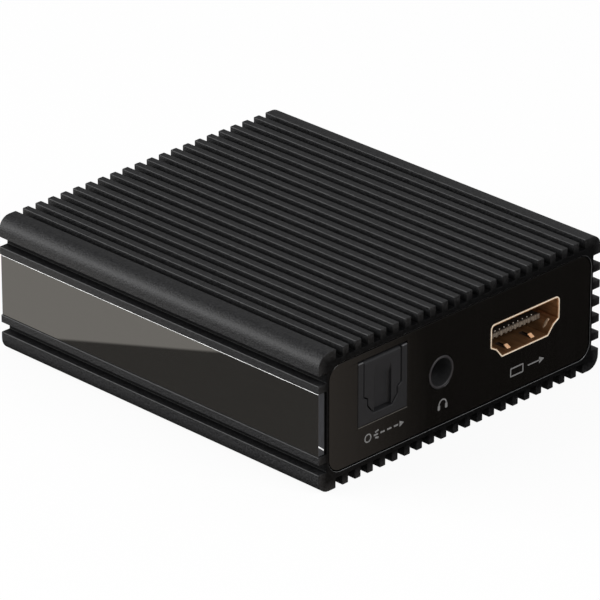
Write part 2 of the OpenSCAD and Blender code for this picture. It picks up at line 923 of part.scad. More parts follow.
// Centre pin with a tapered tip, fixed in the bottom of the bore
module power_inlet_pin() {
    taper = power_pin_r / 2;
    start = power_pin_set_back + taper;
    color("#c8c8ca")
        at_end("rear")
            translate([power_x, 0, board_top + power_h / 2]) {
                rod_y(power_pin_set_back, taper, power_tip_share * power_pin_r, power_pin_r);
                rod_y(start, power_depth - start, power_pin_r, power_pin_r);
            }
}

// Solder feet behind and beside the power inlet
module power_inlet_tails() {
    back = behind_plate + power_l;
    color("#b9b4a8")
        at_end("rear")
            translate([power_x, 0, board_top]) {
                block(2 * foot_w, foot_l, foot_t, back);
                block(2 * foot_w, foot_t, power_h / 2, back);
                translate([-power_w / 2 - foot_l / 2, 0, 0])
                    block(foot_l, 2 * foot_w, foot_t, back - power_l / 2);
                translate([-power_w / 2 - foot_t / 2, 0, 0])
                    block(foot_t, 2 * foot_w, power_h / 3, back - power_l / 2);
            }
}

// Folded steel can of the mode switch, open underneath, with a window for the lug
module mode_switch_can() {
    color("#b4b6b8")
        at_end("rear")
            translate([mode_x, 0, board_top])
                difference() {
                    block(mode_can_w, mode_can_d, mode_can_h, behind_plate);
                    block(mode_can_w - 2 * mode_can_t, mode_can_d - 2 * mode_can_t,
                        mode_can_h - mode_can_t + cut_over, behind_plate + mode_can_t, -cut_over);
                    block(mode_window_w, mode_can_d / 2 + cut_over, mode_lug_h + 2 * mode_gap,
                        behind_plate - cut_over, mode_axis_h - mode_lug_h / 2 - mode_gap);
                }
}

// Sliding lug of the mode switch, in its middle position
module mode_switch_slider() {
    foot_start = behind_plate + mode_can_t + mode_gap;
    foot_h = mode_can_h - mode_can_t - 2 * mode_gap;
    color("#202022")
        at_end("rear")
            translate([mode_x, 0, board_top]) {
                block(mode_lug_w, foot_start - socket_face + cut_over, mode_lug_h,
                    socket_face, mode_axis_h - mode_lug_h / 2);
                block(mode_foot_w, mode_foot_d, foot_h, foot_start, mode_gap);
            }
}

// Clear lens of the status light
module status_light() {
    color("#9fd8b0")
        at_end("rear")
            translate([light_x, 0, board_top + light_axis_h])
                rod_y(socket_face, behind_plate + light_holder_l / 2 - socket_face, light_r, light_r);
}

module light_holder() {
    color("#1b1b1c")
        at_end("rear")
            translate([light_x, 0, board_top])
                difference() {
                    block(light_holder_w, light_holder_l, light_holder_h, behind_plate);
                    translate([0, 0, light_axis_h])
                        rod_y(behind_plate - cut_over, light_holder_l / 2 + cut_over + light_clear,
                            light_r + light_clear, light_r + light_clear);
                }
}

// Place on the board, from a share of its width and length
module on_board(share) {
    translate([share[0] * board_w, share[1] * board_l, board_top])
        children();
}

// Moulded chip with a row of bent leads on two sides
module leaded_chip(w, l, h, leads, pitch) {
    block(w, l, h - chip_standoff, -l / 2, chip_standoff);
    for (side = [-1, 1], y = spaced(leads, pitch)) {
        translate([side * (w + lead_reach / 2) / 2, y - lead_w / 2, 0])
            block(lead_reach / 2 + lead_t, lead_w, lead_t, 0, h / 2);
        translate([side * (w / 2 + lead_reach / 2), y - lead_w / 2, 0])
            block(lead_t, lead_w, h / 2 + lead_t);
        translate([side * (w / 2 + lead_reach * 3 / 4), y - lead_w / 2, 0])
            block(lead_reach / 2, lead_w, lead_t);
    }
}

// Square chip that lies flat on its contact pads
module main_chip() {
    pad_count = 14;
    pad_share = 0.84;
    color("#1a1a1c")
        on_board(main_chip_share) {
            block(main_chip_w, main_chip_w, main_chip_h - chip_standoff,
                -main_chip_w / 2, chip_standoff);
            for (turn = [0 : 90 : 270], x = spaced(pad_count, pad_share * main_chip_w / pad_count))
                rotate(turn)
                    translate([x, 0, 0])
                        block(lead_w, lead_reach / 2, lead_t + chip_standoff,
                            main_chip_w / 2 - lead_reach / 2);
        }
}

module sound_chip() {
    color("#1a1a1c")
        on_board(sound_chip_share)
            leaded_chip(sound_chip_w, sound_chip_l, main_chip_h, sound_leads,
                sound_chip_l / sound_leads);
}

module memory_chip() {
    memory_w = 3.9;
    memory_l = 4.9;
    memory_h = 1.5;
    color("#1a1a1c")
        on_board(memory_chip_share)
            leaded_chip(memory_w, memory_l, memory_h, memory_leads, memory_l / memory_leads);
}

// Crystal in a low metal can
module clock_crystal() {
    crystal_w = 3.2;
    crystal_l = 5;
    crystal_h = 1.2;
    color("#c3c4c6")
        on_board(crystal_share) {
            block(crystal_w, crystal_l, crystal_h / 2, -crystal_l / 2);
            block(crystal_w - crystal_h / 2, crystal_l - crystal_h / 2, crystal_h,
                -crystal_l / 2 + crystal_h / 4);
        }
}

module regulators() {
    regulator_w = 3.5;
    regulator_l = 6.5;
    regulator_h = 1.6;
    color("#1a1a1c")
        for (share = regulator_shares)
            on_board(share)
                leaded_chip(regulator_w, regulator_l, regulator_h, regulator_leads,
                    regulator_l / regulator_leads);
}

// Power inductor: a square ferrite block with cut corners
module power_inductor() {
    color("#3c3d40")
        on_board(inductor_share)
            difference() {
                block(inductor_w, inductor_w, inductor_h, -inductor_w / 2);
                for (x = [-1, 1], y = [-1, 1])
                    translate([x * inductor_w / 2, y * inductor_w / 2, -cut_over])
                        rotate(45)
                            cube([inductor_w / 4, inductor_w / 4, 2 * (inductor_h + 2 * cut_over)],
                                center = true);
            }
}

// Aluminium storage capacitors, each on a square base
module storage_capacitors() {
    base_h = 0.8;
    waist = 0.12;
    color("#c7c8ca")
        for (share = capacitor_shares)
            on_board(share) {
                block(2 * capacitor_r, 2 * capacitor_r, base_h, -capacitor_r);
                cylinder(h = capacitor_h, r = capacitor_r - waist);
            }
}

// Ceramic capacitors and resistors in rows between the larger parts
module board_passives() {
    passive_pitch = passive_span_share * board_w / (passive_columns - 1);
    color("#8a7558")
        for (row = [0 : passive_rows - 1], column = [0 : passive_columns - 1])
            translate([
                main_chip_share[0] * board_w + (column - (passive_columns - 1) / 2) * passive_pitch,
                main_chip_share[1] * board_l + (row < passive_rows / 2 ? -1 : 1) * (main_chip_w / 2
                    + passive_l + (row % (passive_rows / 2)) * 1.5 * passive_l),
                board_top])
                block(passive_w, passive_l, passive_h, -passive_l / 2);
}

// Protection arrays behind the video sockets
module surge_arrays() {
    array_w = 2.5;
    array_l = 1;
    array_h = 0.6;
    color("#1a1a1c")
        for (share = surge_shares)
            on_board(share)
                block(array_w, array_l, array_h, -array_l / 2);
}

housing();
side_inlay();
inlay_tape();
front_plate();
front_overlay();
front_screws();
rear_plate();
rear_overlay();
rear_screws();
main_board();
video_out_shell();
video_out_tongue();
video_out_contacts();
video_in_shell();
video_in_tongue();
video_in_contacts();
optical_body();
optical_shutter();
shutter_pin();
shutter_spring();
optical_emitter();
headphone_body();
headphone_collar();
headphone_contacts();
power_inlet_body();
power_inlet_pin();
power_inlet_tails();
mode_switch_can();
mode_switch_slider();
status_light();
light_holder();
main_chip();
sound_chip();
memory_chip();
clock_crystal();
regulators();
power_inductor();
storage_capacitors();
board_passives();
surge_arrays();
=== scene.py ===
import math

import bmesh
import bpy
import numpy as np
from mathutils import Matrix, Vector
from mathutils.geometry import tessellate_polygon


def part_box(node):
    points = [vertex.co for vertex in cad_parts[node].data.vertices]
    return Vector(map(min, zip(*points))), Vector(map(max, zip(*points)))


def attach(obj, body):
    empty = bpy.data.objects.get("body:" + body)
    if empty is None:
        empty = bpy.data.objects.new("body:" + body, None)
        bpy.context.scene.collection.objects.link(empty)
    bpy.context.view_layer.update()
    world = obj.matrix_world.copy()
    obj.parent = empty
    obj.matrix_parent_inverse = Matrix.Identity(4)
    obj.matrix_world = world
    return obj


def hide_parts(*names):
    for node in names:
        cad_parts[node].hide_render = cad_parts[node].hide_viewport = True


# A ribbed aluminium box that takes the sound out of a video signal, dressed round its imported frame.
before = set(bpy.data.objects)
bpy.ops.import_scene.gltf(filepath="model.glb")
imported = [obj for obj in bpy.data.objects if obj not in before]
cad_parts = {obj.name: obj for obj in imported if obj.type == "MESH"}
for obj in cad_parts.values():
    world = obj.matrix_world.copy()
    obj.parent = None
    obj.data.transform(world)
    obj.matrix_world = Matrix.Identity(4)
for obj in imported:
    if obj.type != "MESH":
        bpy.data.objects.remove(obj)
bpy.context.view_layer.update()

# Camera
# It stands to the left of the output end and above it, far enough away for the flat perspective of a
# product picture. Its place is in metres, its turn and dip are in degrees.
CAMERA_PLACE = (-0.50905, -0.50901, 0.35025)
CAMERA_TURN = -45.014
CAMERA_DIP = 25.307
CAMERA_LENS = 316.2
CAMERA_REACH = (0.05, 20)
camera_data = bpy.data.cameras.new("camera")
camera_data.lens = CAMERA_LENS
camera_data.clip_start, camera_data.clip_end = CAMERA_REACH
camera = bpy.data.objects.new("camera", camera_data)
camera.location = CAMERA_PLACE
camera.rotation_euler = (math.radians(90 - CAMERA_DIP), 0, math.radians(CAMERA_TURN))
bpy.context.scene.collection.objects.link(camera)
bpy.context.scene.camera = camera

# Extruded housing
# One length of aluminium tube with ribs on all four sides, bead-blasted and dyed black by anodising. Its
# ends are sawn, rebated for the end plates and lightly broken at the edges.
MM = 0.001
TOP_PITCH = 2.58
TOP_GROOVE = 1.35
SIDE_PITCH = 2.85
SIDE_GROOVE = 1.56
GROOVE_DEPTH = 1.6
CORNER_RIB_MIN = 2.8
CORNER_RADIUS = 2.1
RIB_EDGE_RADIUS = 0.15
GROOVE_FOOT_RADIUS = 0.12
WALL = 1.6
SAWN_EDGE = 0.1
POCKET_RIBS = 3
PANEL_MARGIN = np.array([2.1, 2.5])
PANEL_RADIUS = 2.4
PANEL_GAP = 0.06
REBATE_DEPTH = 2.05
SCREW_INSET = np.array([2.4, 2.2])
SCREW_HOLE = 1.04
SCREW_WALL = 0.7
CHANNEL_STEPS = 12
RAIL_WIDTH = 1.2
RAIL_HEIGHT = 1.0
BOARD_PLAY = 0.05
ANODISED_TINTS = ("#070709", "#262627")
EDGE_HIGHLIGHT_TINTS = ("#111112", "#404041")
MOUTH_HIGHLIGHT_TINTS = ("#68696a", "#808182")
# Painted shade in the groove feet: their colour is scaled down to this share.
GROOVE_PAINTED_SHADE = 0.3
HOUSING_GLOSS = 0.31
GROOVE_GLOSS = 0.08
PAINTED_SHADE_START = 0.2
DIE_LINE = (0.22, 12.0)
DIE_RELIEF = 0.01
NOISE_RANGE = (0.3, 0.7)
MOUTH_REACH = 0.3
MOUTH_SLANT = (0.35, 0.85)
RIB_SLANT = 0.2


def node_box(name):
    """Lowest and highest corner of a CAD node, in millimetres."""
    low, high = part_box(name)
    return np.array(low) / MM, np.array(high) / MM


def rounded(corners, radius, steps=6):
    """Closed outline with an arc at each corner. The arc's middle lies on the corner's bisector, at the
    radius divided by the sine of half the corner's angle, and its ends touch the two sides."""
    corners = np.asarray(corners, float)
    radius = np.broadcast_to(radius, len(corners))[:, None]
    back = np.roll(corners, 1, axis=0) - corners
    ahead = np.roll(corners, -1, axis=0) - corners
    back /= np.linalg.norm(back, axis=1, keepdims=True)
    ahead /= np.linalg.norm(ahead, axis=1, keepdims=True)
    half = np.arccos(np.clip(np.sum(back * ahead, axis=1, keepdims=True), -1, 1)) / 2
    bisector = (back + ahead) / np.linalg.norm(back + ahead, axis=1, keepdims=True)
    middle = corners + bisector * radius / np.sin(half)
    first = corners + back * radius / np.tan(half) - middle
    last = corners + ahead * radius / np.tan(half) - middle
    start = np.arctan2(first[:, 1:], first[:, :1])
    sweep = np.arctan2(last[:, 1:], last[:, :1]) - start
    sweep = (sweep + np.pi) % (2 * np.pi) - np.pi
    angle = start + sweep * np.linspace(0, 1, steps + 1)
    points = middle[:, None] + radius[:, None] * np.stack([np.cos(angle), np.sin(angle)], axis=2)
    return points.reshape(-1, 2)


def circle(middle, radius, steps=64):
    """Closed outline of a circle: the middle plus the radius times the cosine and sine of even steps."""
    angle = np.linspace(0, 2 * np.pi, steps, endpoint=False)
    return np.array(middle) + radius * np.stack([np.cos(angle), np.sin(angle)], axis=1)


def rectangle(middle, width, height):
    """Corners of a rectangle, counter-clockwise from its lower left."""
    return np.array(middle) + np.array([[-1, -1], [1, -1], [1, 1], [-1, 1]]) * [width / 2, height / 2]


def inset(outline, distance):
    """Closed outline moved inwards: each point moves along the sum of its two sides' normals, mitred."""
    side = np.roll(outline, -1, axis=0) - outline
    side /= np.linalg.norm(side, axis=1, keepdims=True)
    normal = np.stack([-side[:, 1], side[:, 0]], axis=1)
    before = np.roll(normal, 1, axis=0)
    return outline + (before + normal) * distance / (1 + np.sum(before * normal, axis=1, keepdims=True))


def carried(outline, start, end, edge_start=0.0, edge_end=0.0, hole=False, steps=3):
    """Grid of points: the outline carried along Y, drawn in at both ends by a quarter circle of the edge
    radius, so that the row at angle a lies r - r sin(a) in and r - r cos(a) along. A hole's outline is
    widened instead."""
    turn = np.linspace(0, np.pi / 2, steps + 1)
    draw = 1 - np.sin(turn)
    along = 1 - np.cos(turn)
    ahead = math.copysign(1, end - start)
    depths = np.concatenate([start + ahead * edge_start * along, end - ahead * edge_end * along[::-1]])
    insets = np.concatenate([edge_start * draw, edge_end * draw[::-1]])
    kept = np.concatenate([[True], np.abs(np.diff(depths)) > 1e-6])
    insets = -insets if hole else insets
    rows = [np.insert(inset(outline, insets[k]), 1, depths[k], axis=1) for k in np.flatnonzero(kept)]
    return np.stack(rows)


def build(name, sleeves, caps=None, crisp=32):
    """Closed mesh object, in metres at the origin. A sleeve is a grid of points whose rows close on
    themselves, joined row to row by quads. A cap is a flat face bounded by rows of sleeves, named as
    (sleeve, row), and without a list of caps each sleeve is closed at both its ends."""
    if caps is None:
        caps = [[(k, row)] for k in range(len(sleeves)) for row in (0, -1)]
    starts = np.cumsum([0] + [len(s) * s.shape[1] for s in sleeves])
    points = np.concatenate([s.reshape(-1, 3) for s in sleeves]) * MM
    faces = []
    for s, start in zip(sleeves, starts):
        index = start + np.arange(len(s) * s.shape[1]).reshape(s.shape[:2])
        beside = np.roll(index, -1, axis=1)
        faces += np.stack([index[:-1], beside[:-1], beside[1:], index[1:]], axis=2).reshape(-1, 4).tolist()
    for cap in caps:
        rims = [sleeves[s][row] for s, row in cap]
        number = np.concatenate([
            starts[s] + (row % len(sleeves[s])) * sleeves[s].shape[1] + np.arange(sleeves[s].shape[1])
            for s, row in cap])
        plane = np.sort(np.argsort(np.ptp(rims[0], axis=0))[1:])
        flat = [rim[:, plane].tolist() for rim in rims]
        faces += number[np.array(tessellate_polygon(flat))].tolist()
    mesh = bpy.data.meshes.new(name)
    mesh.from_pydata(points.tolist(), [], faces)
    return finished(bpy.data.objects.new(name, mesh), crisp)


def finished(piece, crisp=32):
    """Links a piece, turns its faces outwards and smooths it, with edges over the crisp angle kept sharp.
    Beside a rounded edge the large faces set the normals, so that flats reflect as flats."""
    work = bmesh.new()
    work.from_mesh(piece.data)
    bmesh.ops.recalc_face_normals(work, faces=work.faces)
    work.to_mesh(piece.data)
    work.free()
    piece.data.polygons.foreach_set("use_smooth", np.ones(len(piece.data.polygons), bool))
    piece.data.set_sharp_from_angle(angle=math.radians(crisp))
    even = piece.modifiers.new("even_normals", "WEIGHTED_NORMAL")
    even.keep_sharp = True
    even.weight = 100
    if piece.name not in bpy.context.scene.collection.objects:
        bpy.context.scene.collection.objects.link(piece)
    return piece


def fit(piece, finish, body, slot, *nodes):
    """Gives a piece its finish and its body, and hides the CAD nodes that it stands for. The slot is not
    used.
    """
    piece.data.materials.append(finish)
    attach(piece, body)
    if nodes:
        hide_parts(*nodes)
    return piece


def second_finish(piece, finish, chosen):
    """Gives some faces another finish. Chosen tests the faces' middles, in millimetres, and their
    normals."""
    piece.data.materials.append(finish)
    faces = piece.data.polygons
    middles, normals = np.zeros(3 * len(faces)), np.zeros(3 * len(faces))
    index = np.zeros(len(faces), int)
    faces.foreach_get("center", middles)
    faces.foreach_get("normal", normals)
    faces.foreach_get("material_index", index)
    index[chosen(middles.reshape(-1, 3).T / MM, normals.reshape(-1, 3).T)] = len(piece.data.materials) - 1
    faces.foreach_set("material_index", index)


def colour(code):
    """Linear colour of an sRGB hex value: (c + 0.055) / 1.055 to the power 2.4, or c / 12.92 near black."""
    part = np.array([int(code[i:i + 2], 16) for i in (1, 3, 5)]) / 255
    return (*np.where(part > 0.04045, ((part + 0.055) / 1.055) ** 2.4, part / 12.92), 1.0)


def add_node(tree, kind, inputs=None, **settings):
    """Adds one node. Settings are its properties. Inputs are values, other nodes, which are linked by their
    first output, or single outputs of them."""
    node = tree.nodes.new(kind)
    for name, value in settings.items():
        setattr(node, name, value)
    for name, value in (inputs or {}).items():
        if isinstance(value, bpy.types.Node):
            tree.links.new(value.outputs[0], node.inputs[name])
        elif isinstance(value, bpy.types.NodeSocket):
            tree.links.new(value, node.inputs[name])
        else:
            node.inputs[name].default_value = value
    return node


def grained(name, dark, light, grain, roughness, relief=0.0, stretch=(1, 1, 1), **shader_values):
    """Finish whose colour wanders from dark to light, its roughness over a range and its height by relief
    millimetres, all with one noise, whose usual range is spread over the whole of each. Its grain is in
    millimetres, longer along an axis by its stretch. The rest is set on the shader itself."""
    finish = bpy.data.materials.new(name)
    finish.use_nodes = True
    tree = finish.node_tree
    shader = tree.nodes["Principled BSDF"]
    place = add_node(tree, "ShaderNodeTexCoord").outputs["Object"]
    scale = [1 / (grain * MM * longer) for longer in stretch]
    mapped = add_node(tree, "ShaderNodeMapping", {"Vector": place, "Scale": scale})
    noise = add_node(tree, "ShaderNodeTexNoise", {"Vector": mapped, "Scale": 1.0, "Detail": 3.0})
    tint = add_node(tree, "ShaderNodeValToRGB", {"Fac": noise})
    for stop, at, code in zip(tint.color_ramp.elements, NOISE_RANGE, (dark, light)):
        stop.position = at
        stop.color = colour(code)
    rough = add_node(tree, "ShaderNodeMapRange", {
        "Value": noise, "From Min": NOISE_RANGE[0], "From Max": NOISE_RANGE[1],
        "To Min": roughness[0], "To Max": roughness[1]})
    tree.links.new(tint.outputs["Color"], shader.inputs["Base Color"])
    tree.links.new(rough.outputs[0], shader.inputs["Roughness"])
    if relief:
        bump = add_node(tree, "ShaderNodeBump", {"Height": noise, "Distance": relief * MM, "Strength": 1.0})
        tree.links.new(bump.outputs[0], shader.inputs["Normal"])
    for value_name, value in shader_values.items():
        shader.inputs[value_name.replace("_", " ")].default_value = value
    return finish


def shade(finish, measure, reach, shades):
    """Paints light and shade into a finish's colour: multiplies it by a factor that changes evenly, from the
    first to the last of its shades, while a measure in metres goes over its reach in millimetres."""
    tree = finish.node_tree
    tint = tree.nodes["Principled BSDF"].inputs["Base Color"]
    amount = add_node(tree, "ShaderNodeMapRange", {
        "Value": measure, "From Min": reach[0] * MM, "From Max": reach[1] * MM,
        "To Min": shades[0], "To Max": shades[1]})
    scaled = add_node(tree, "ShaderNodeVectorMath", {
        "Vector": tint.links[0].from_socket, "Scale": amount}, operation="SCALE")
    tree.links.new(scaled.outputs[0], tint)


def anodised_aluminium():
    """Bead-blasted aluminium with a black-dyed oxide skin: near black, with a soft wide sheen and an even
    grain. The blasted pits are 0.1 mm, drawn at 0.28 mm so that they show, over faint lines left by the die.
    The groove feet get a painted shade: their colour and gloss fall with the depth under the outside."""
    finish = grained("anodised_aluminium", *ANODISED_TINTS, grain=0.28, roughness=(0.46, 0.6), relief=0.07)
    tree = finish.node_tree
    shader = tree.nodes["Principled BSDF"]
    place = add_node(tree, "ShaderNodeTexCoord").outputs["Object"]
    line_width, line_length = DIE_LINE
    drawn = add_node(tree, "ShaderNodeMapping", {
        "Vector": place, "Scale": [1 / (size * MM) for size in (line_width, line_length, line_width)]})
    lines = add_node(tree, "ShaderNodeTexNoise", {"Vector": drawn, "Scale": 1.0, "Detail": 2.0})
    die_lines = add_node(tree, "ShaderNodeBump", {
        "Height": lines, "Distance": DIE_RELIEF * MM, "Strength": 1.0,
        "Normal": shader.inputs["Normal"].links[0].from_socket})
    tree.links.new(die_lines.outputs[0], shader.inputs["Normal"])
    axes = add_node(tree, "ShaderNodeSeparateXYZ", {"Vector": place})
    lifted = add_node(tree, "ShaderNodeMath", {
        0: axes.outputs["Z"], 1: mid_height * MM}, operation="SUBTRACT")
    across = add_node(tree, "ShaderNodeMath", {0: axes.outputs["X"]}, operation="ABSOLUTE")
    upright = add_node(tree, "ShaderNodeMath", {0: lifted}, operation="ABSOLUTE")
    from_side = add_node(tree, "ShaderNodeMath", {0: width / 2 * MM, 1: across}, operation="SUBTRACT")
    from_top = add_node(tree, "ShaderNodeMath", {0: mid_height * MM, 1: upright}, operation="SUBTRACT")
    depth = add_node(tree, "ShaderNodeMath", {0: from_side, 1: from_top}, operation="MINIMUM")
    # Painted shade: the colour darkens with the depth into the grooves, and the gloss falls with it.
    shade(finish, depth, (PAINTED_SHADE_START, GROOVE_DEPTH), (1.0, GROOVE_PAINTED_SHADE))
    gloss = add_node(tree, "ShaderNodeMapRange", {
        "Value": depth, "From Min": PAINTED_SHADE_START * MM, "From Max": GROOVE_DEPTH * MM,
        "To Min": HOUSING_GLOSS, "To Max": GROOVE_GLOSS})
    tree.links.new(gloss.outputs[0], shader.inputs["Specular IOR Level"])
    return finish


def rebate_mouth_highlight():
    """The rebate's mouth: a hair line of pale, slightly metallic grey, finely scratched, a painted
    highlight.
    """
    return grained("rebate_mouth_highlight", *MOUTH_HIGHLIGHT_TINTS, grain=0.3, roughness=(0.3, 0.42), Metallic=0.3)


def rib_edge_highlight():
    """The ribs' rounded edges, painted a lighter grey as a highlight: grey dashes along the ribs."""
    return grained("rib_edge_highlight", *EDGE_HIGHLIGHT_TINTS, grain=0.5, stretch=(1, 2, 1), roughness=(0.45, 0.6),
                   Specular_IOR_Level=0.28)


housing_low, housing_high = node_box("housing")
width, height = (housing_high - housing_low)[[0, 2]]
front, rear = housing_low[1], housing_high[1]
mid_height = height / 2
board_low, board_high = node_box("main_board")


def spaced(count, pitch):
    """Places of an even row about zero."""
    return (np.arange(count) - (count - 1) / 2) * pitch


def groove_places(face, pitch, groove):
    """Middles of the grooves that fit on a face between its two corner ribs."""
    return spaced(math.floor((face - 2 * CORNER_RIB_MIN + pitch - groove) / pitch), pitch)


def grooved_side(start, along, places, widths):
    """Corners of one side: from its starting corner, each groove goes in at its near wall and out at its far
    one. The second list holds each corner's radius."""
    start, along = np.array(start, float), np.array(along, float)
    inward = np.array([-along[1], along[0]])
    corners, radii = [start], [CORNER_RADIUS]
    for place, groove in zip(places, widths):
        near, far = start + along * (place - groove / 2), start + along * (place + groove / 2)
        corners += [near, near + inward * GROOVE_DEPTH, far + inward * GROOVE_DEPTH, far]
        radii += [RIB_EDGE_RADIUS, GROOVE_FOOT_RADIUS, GROOVE_FOOT_RADIUS, RIB_EDGE_RADIUS]
    return corners, radii


def housing_outline():
    """Counter-clockwise outline of the extrusion, with the pocket for the strip on the -X side."""
    flat = groove_places(width, TOP_PITCH, TOP_GROOVE)
    upright = groove_places(height, SIDE_PITCH, SIDE_GROOVE)
    flat_widths, upright_widths = np.full(len(flat), TOP_GROOVE), np.full(len(upright), SIDE_GROOVE)
    pocket = POCKET_RIBS * SIDE_PITCH + SIDE_GROOVE
    outside = upright[np.abs(upright) > pocket / 2]
    pocket_places = np.sort([*outside, 0])
    pocket_widths = np.where(pocket_places == 0, pocket, SIDE_GROOVE)
    sides = [
        ((-width / 2, 0), (1, 0), width / 2 + flat, flat_widths),
        ((width / 2, 0), (0, 1), height / 2 + upright, upright_widths),
        ((width / 2, height), (-1, 0), width / 2 + flat, flat_widths),
        ((-width / 2, height), (0, -1), height / 2 + pocket_places, pocket_widths)]
    corners, radii = zip(*[grooved_side(*side) for side in sides])
    return rounded(np.concatenate(corners), np.concatenate(radii))


def mirrored(half):
    """Outline made of a right half, listed upwards, and its mirror image, listed downwards."""
    half = np.asarray(half, float)
    return np.concatenate([half, half[::-1] * [-1, 1]])


def cavity_outline():
    """Inside of the tube: rails for the board on both walls, and screw channels that bulge into the corners.
    A channel's arc starts where its circle leaves one wall and ends where it meets the next."""
    wall_x, wall_z = width / 2 - GROOVE_DEPTH - WALL, height / 2 - GROOVE_DEPTH - WALL
    channel = SCREW_HOLE + SCREW_WALL
    slot_low, slot_high = board_low[2] - BOARD_PLAY, board_high[2] + BOARD_PLAY
    low_z, high_z = mid_height - screw_place[1], mid_height + screw_place[1]
    to_floor = mid_height - wall_z - low_z
    start = math.atan2(to_floor, -math.sqrt(channel ** 2 - to_floor ** 2))
    to_slot = slot_low - low_z
    end = math.atan2(to_slot, -math.sqrt(channel ** 2 - to_slot ** 2))
    low_turn = np.linspace(start + 2 * np.pi, end, CHANNEL_STEPS)
    to_wall, to_roof = wall_x - screw_place[0], wall_z - screw_place[1]
    high_turn = np.linspace(
        2 * np.pi - math.acos(to_wall / channel), math.pi - math.asin(to_roof / channel), CHANNEL_STEPS)
    low_arc = screw_place[0] + channel * np.cos(low_turn), low_z + channel * np.sin(low_turn)
    high_arc = screw_place[0] + channel * np.cos(high_turn), high_z + channel * np.sin(high_turn)
    rail = wall_x - RAIL_WIDTH
    return mirrored([
        *np.stack(low_arc, axis=1),
        [wall_x, slot_low], [wall_x, slot_high], [rail, slot_high], [rail, slot_high + RAIL_HEIGHT],
        [wall_x, slot_high + RAIL_HEIGHT],
        *np.stack(high_arc, axis=1)])


panel_size = np.array([width, height]) - 2 * PANEL_MARGIN
screw_place = panel_size / 2 - SCREW_INSET


def panel_outline(grow=0.0):
    """Rounded rectangle of the end panels, wider all round by grow."""
    corners = rectangle((0, mid_height), *(panel_size + 2 * grow))
    return rounded(corners, PANEL_RADIUS + grow, steps=10)


def housing_piece():
    """The tube: ribbed outside, a rebate at each end, the cavity between them and four screw channels."""
    mouth = panel_outline(PANEL_GAP)
    floors = front + REBATE_DEPTH, rear - REBATE_DEPTH
    channels = [circle((x * screw_place[0], mid_height + z * screw_place[1]), SCREW_HOLE, steps=24)
                for x in (-1, 1) for z in (-1, 1)]
    sleeves = [
        carried(housing_outline(), front, rear, SAWN_EDGE, SAWN_EDGE),
        carried(mouth, front, floors[0], SAWN_EDGE, hole=True),
        carried(mouth, rear, floors[1], SAWN_EDGE, hole=True),
        carried(cavity_outline(), *floors),
        *[carried(channel, *floors) for channel in channels]]
    inner = [3, 4, 5, 6, 7]
    caps = [
        [(0, 0), (1, 0)], [(0, -1), (2, 0)],
        [(1, -1), *[(k, 0) for k in inner]], [(2, -1), *[(k, -1) for k in inner]]]
    return build("ribbed_housing", sleeves, caps)


def mouth_edges(middles, normals):
    """Test for the rounded edges of the rebates' mouths."""
    x, y, z = middles
    reach = panel_size / 2 + MOUTH_REACH
    inside = (np.abs(x) < reach[0]) & (np.abs(z - mid_height) < reach[1]) & (np.abs(y) > rear - SAWN_EDGE)
    slant = np.abs(normals[1])
    return inside & (slant > MOUTH_SLANT[0]) & (slant < MOUTH_SLANT[1])


def rib_edges(middles, normals):
    """Test for the rounded edges of the ribs: near the outside, slanted, and clear of the corners' arcs."""
    from_side, from_top = width / 2 - np.abs(middles[0]), mid_height - np.abs(middles[2] - mid_height)
    across, along, upwards = np.abs(normals)
    slanted = (across > RIB_SLANT) & (upwards > RIB_SLANT) & (along < RIB_SLANT)
    near = np.minimum(from_side, from_top) < RIB_EDGE_RADIUS
    return slanted & near & (np.maximum(from_side, from_top) > CORNER_RADIUS)


tube = fit(housing_piece(), anodised_aluminium(), "box", "black_anodised", "housing")
# Painted highlight: the ribs' rounded edges get a lighter grey finish.
second_finish(tube, rib_edge_highlight(), rib_edges)
# Painted highlight: the rebates' rounded mouths get a pale grey finish.
second_finish(tube, rebate_mouth_highlight(), mouth_edges)

# Side inlay
# A strip of black gloss acrylic, stuck into a pocket in the place of the middle ribs, and sawn to length.
# Its long upper edge is a painted highlight, its lower edge a painted shade, its ends' bluish tone a painted
# reflection, and a painted glint crosses one end. The tape under it is foam with adhesive on both faces.
STRIP_EDGE = 0.07
EDGE_SLANT = 0.1
STRIP_END = 0.5
# Outline and depth of the painted glint on the strip's end.
GLINT_CORNERS = np.array([(0.05, 1.5), (1.1, 0.65), (1.1, 0.9), (0.05, 1.75)])
GLINT_RISE = 0.02


def polished_acrylic():
    """Cast acrylic, polished to a mirror: it shows what stands round it, and its own black is slightly warm.
    The wiping marks are a few millimetres long and only just change its roughness."""
    return grained("polished_acrylic", "#0b0a09", "#0e0d0c", grain=0.6, stretch=(1, 6, 1),
                   roughness=(0.003, 0.012), IOR=2.0)


def strip_edge_highlight():
    """The strip's long upper edge: a pale grey metal finish that reflects the lamps as a white line, a
    painted highlight. Its saw marks are 0.1 mm, drawn at 0.3 mm."""
    return grained("strip_edge_highlight", "#8e8e8e", "#bcbcbc", grain=0.3, stretch=(1, 10, 1),
                   roughness=(0.25, 0.35), Metallic=1.0)


def painted_end_glint():
    """White, finely broken: a painted glint on the strip's end."""
    return grained("painted_end_glint", "#e6e6e6", "#ffffff", grain=0.15, roughness=(0.3, 0.5))


def sawn_end_and_reflection():
    """The strip's sawn ends: satin dark grey with upright saw marks, tinted bluish as a painted reflection.
    """
    return grained("sawn_end_and_reflection", "#2c2e32", "#3a3c41", grain=0.2, stretch=(1, 1, 12),
                   roughness=(0.4, 0.55))


def coat(finish, *names):
    """Gives the CAD nodes that keep their own shape a finish."""
    for name in names:
        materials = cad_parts[name].data.materials
        materials.clear()
        materials.append(finish)


def foam_tape():
    """Black acrylic foam tape: matt, with cells of about 0.2 mm."""
    return grained("foam_tape", "#141413", "#1f1f1e", grain=0.2, roughness=(0.8, 0.95), relief=0.02)


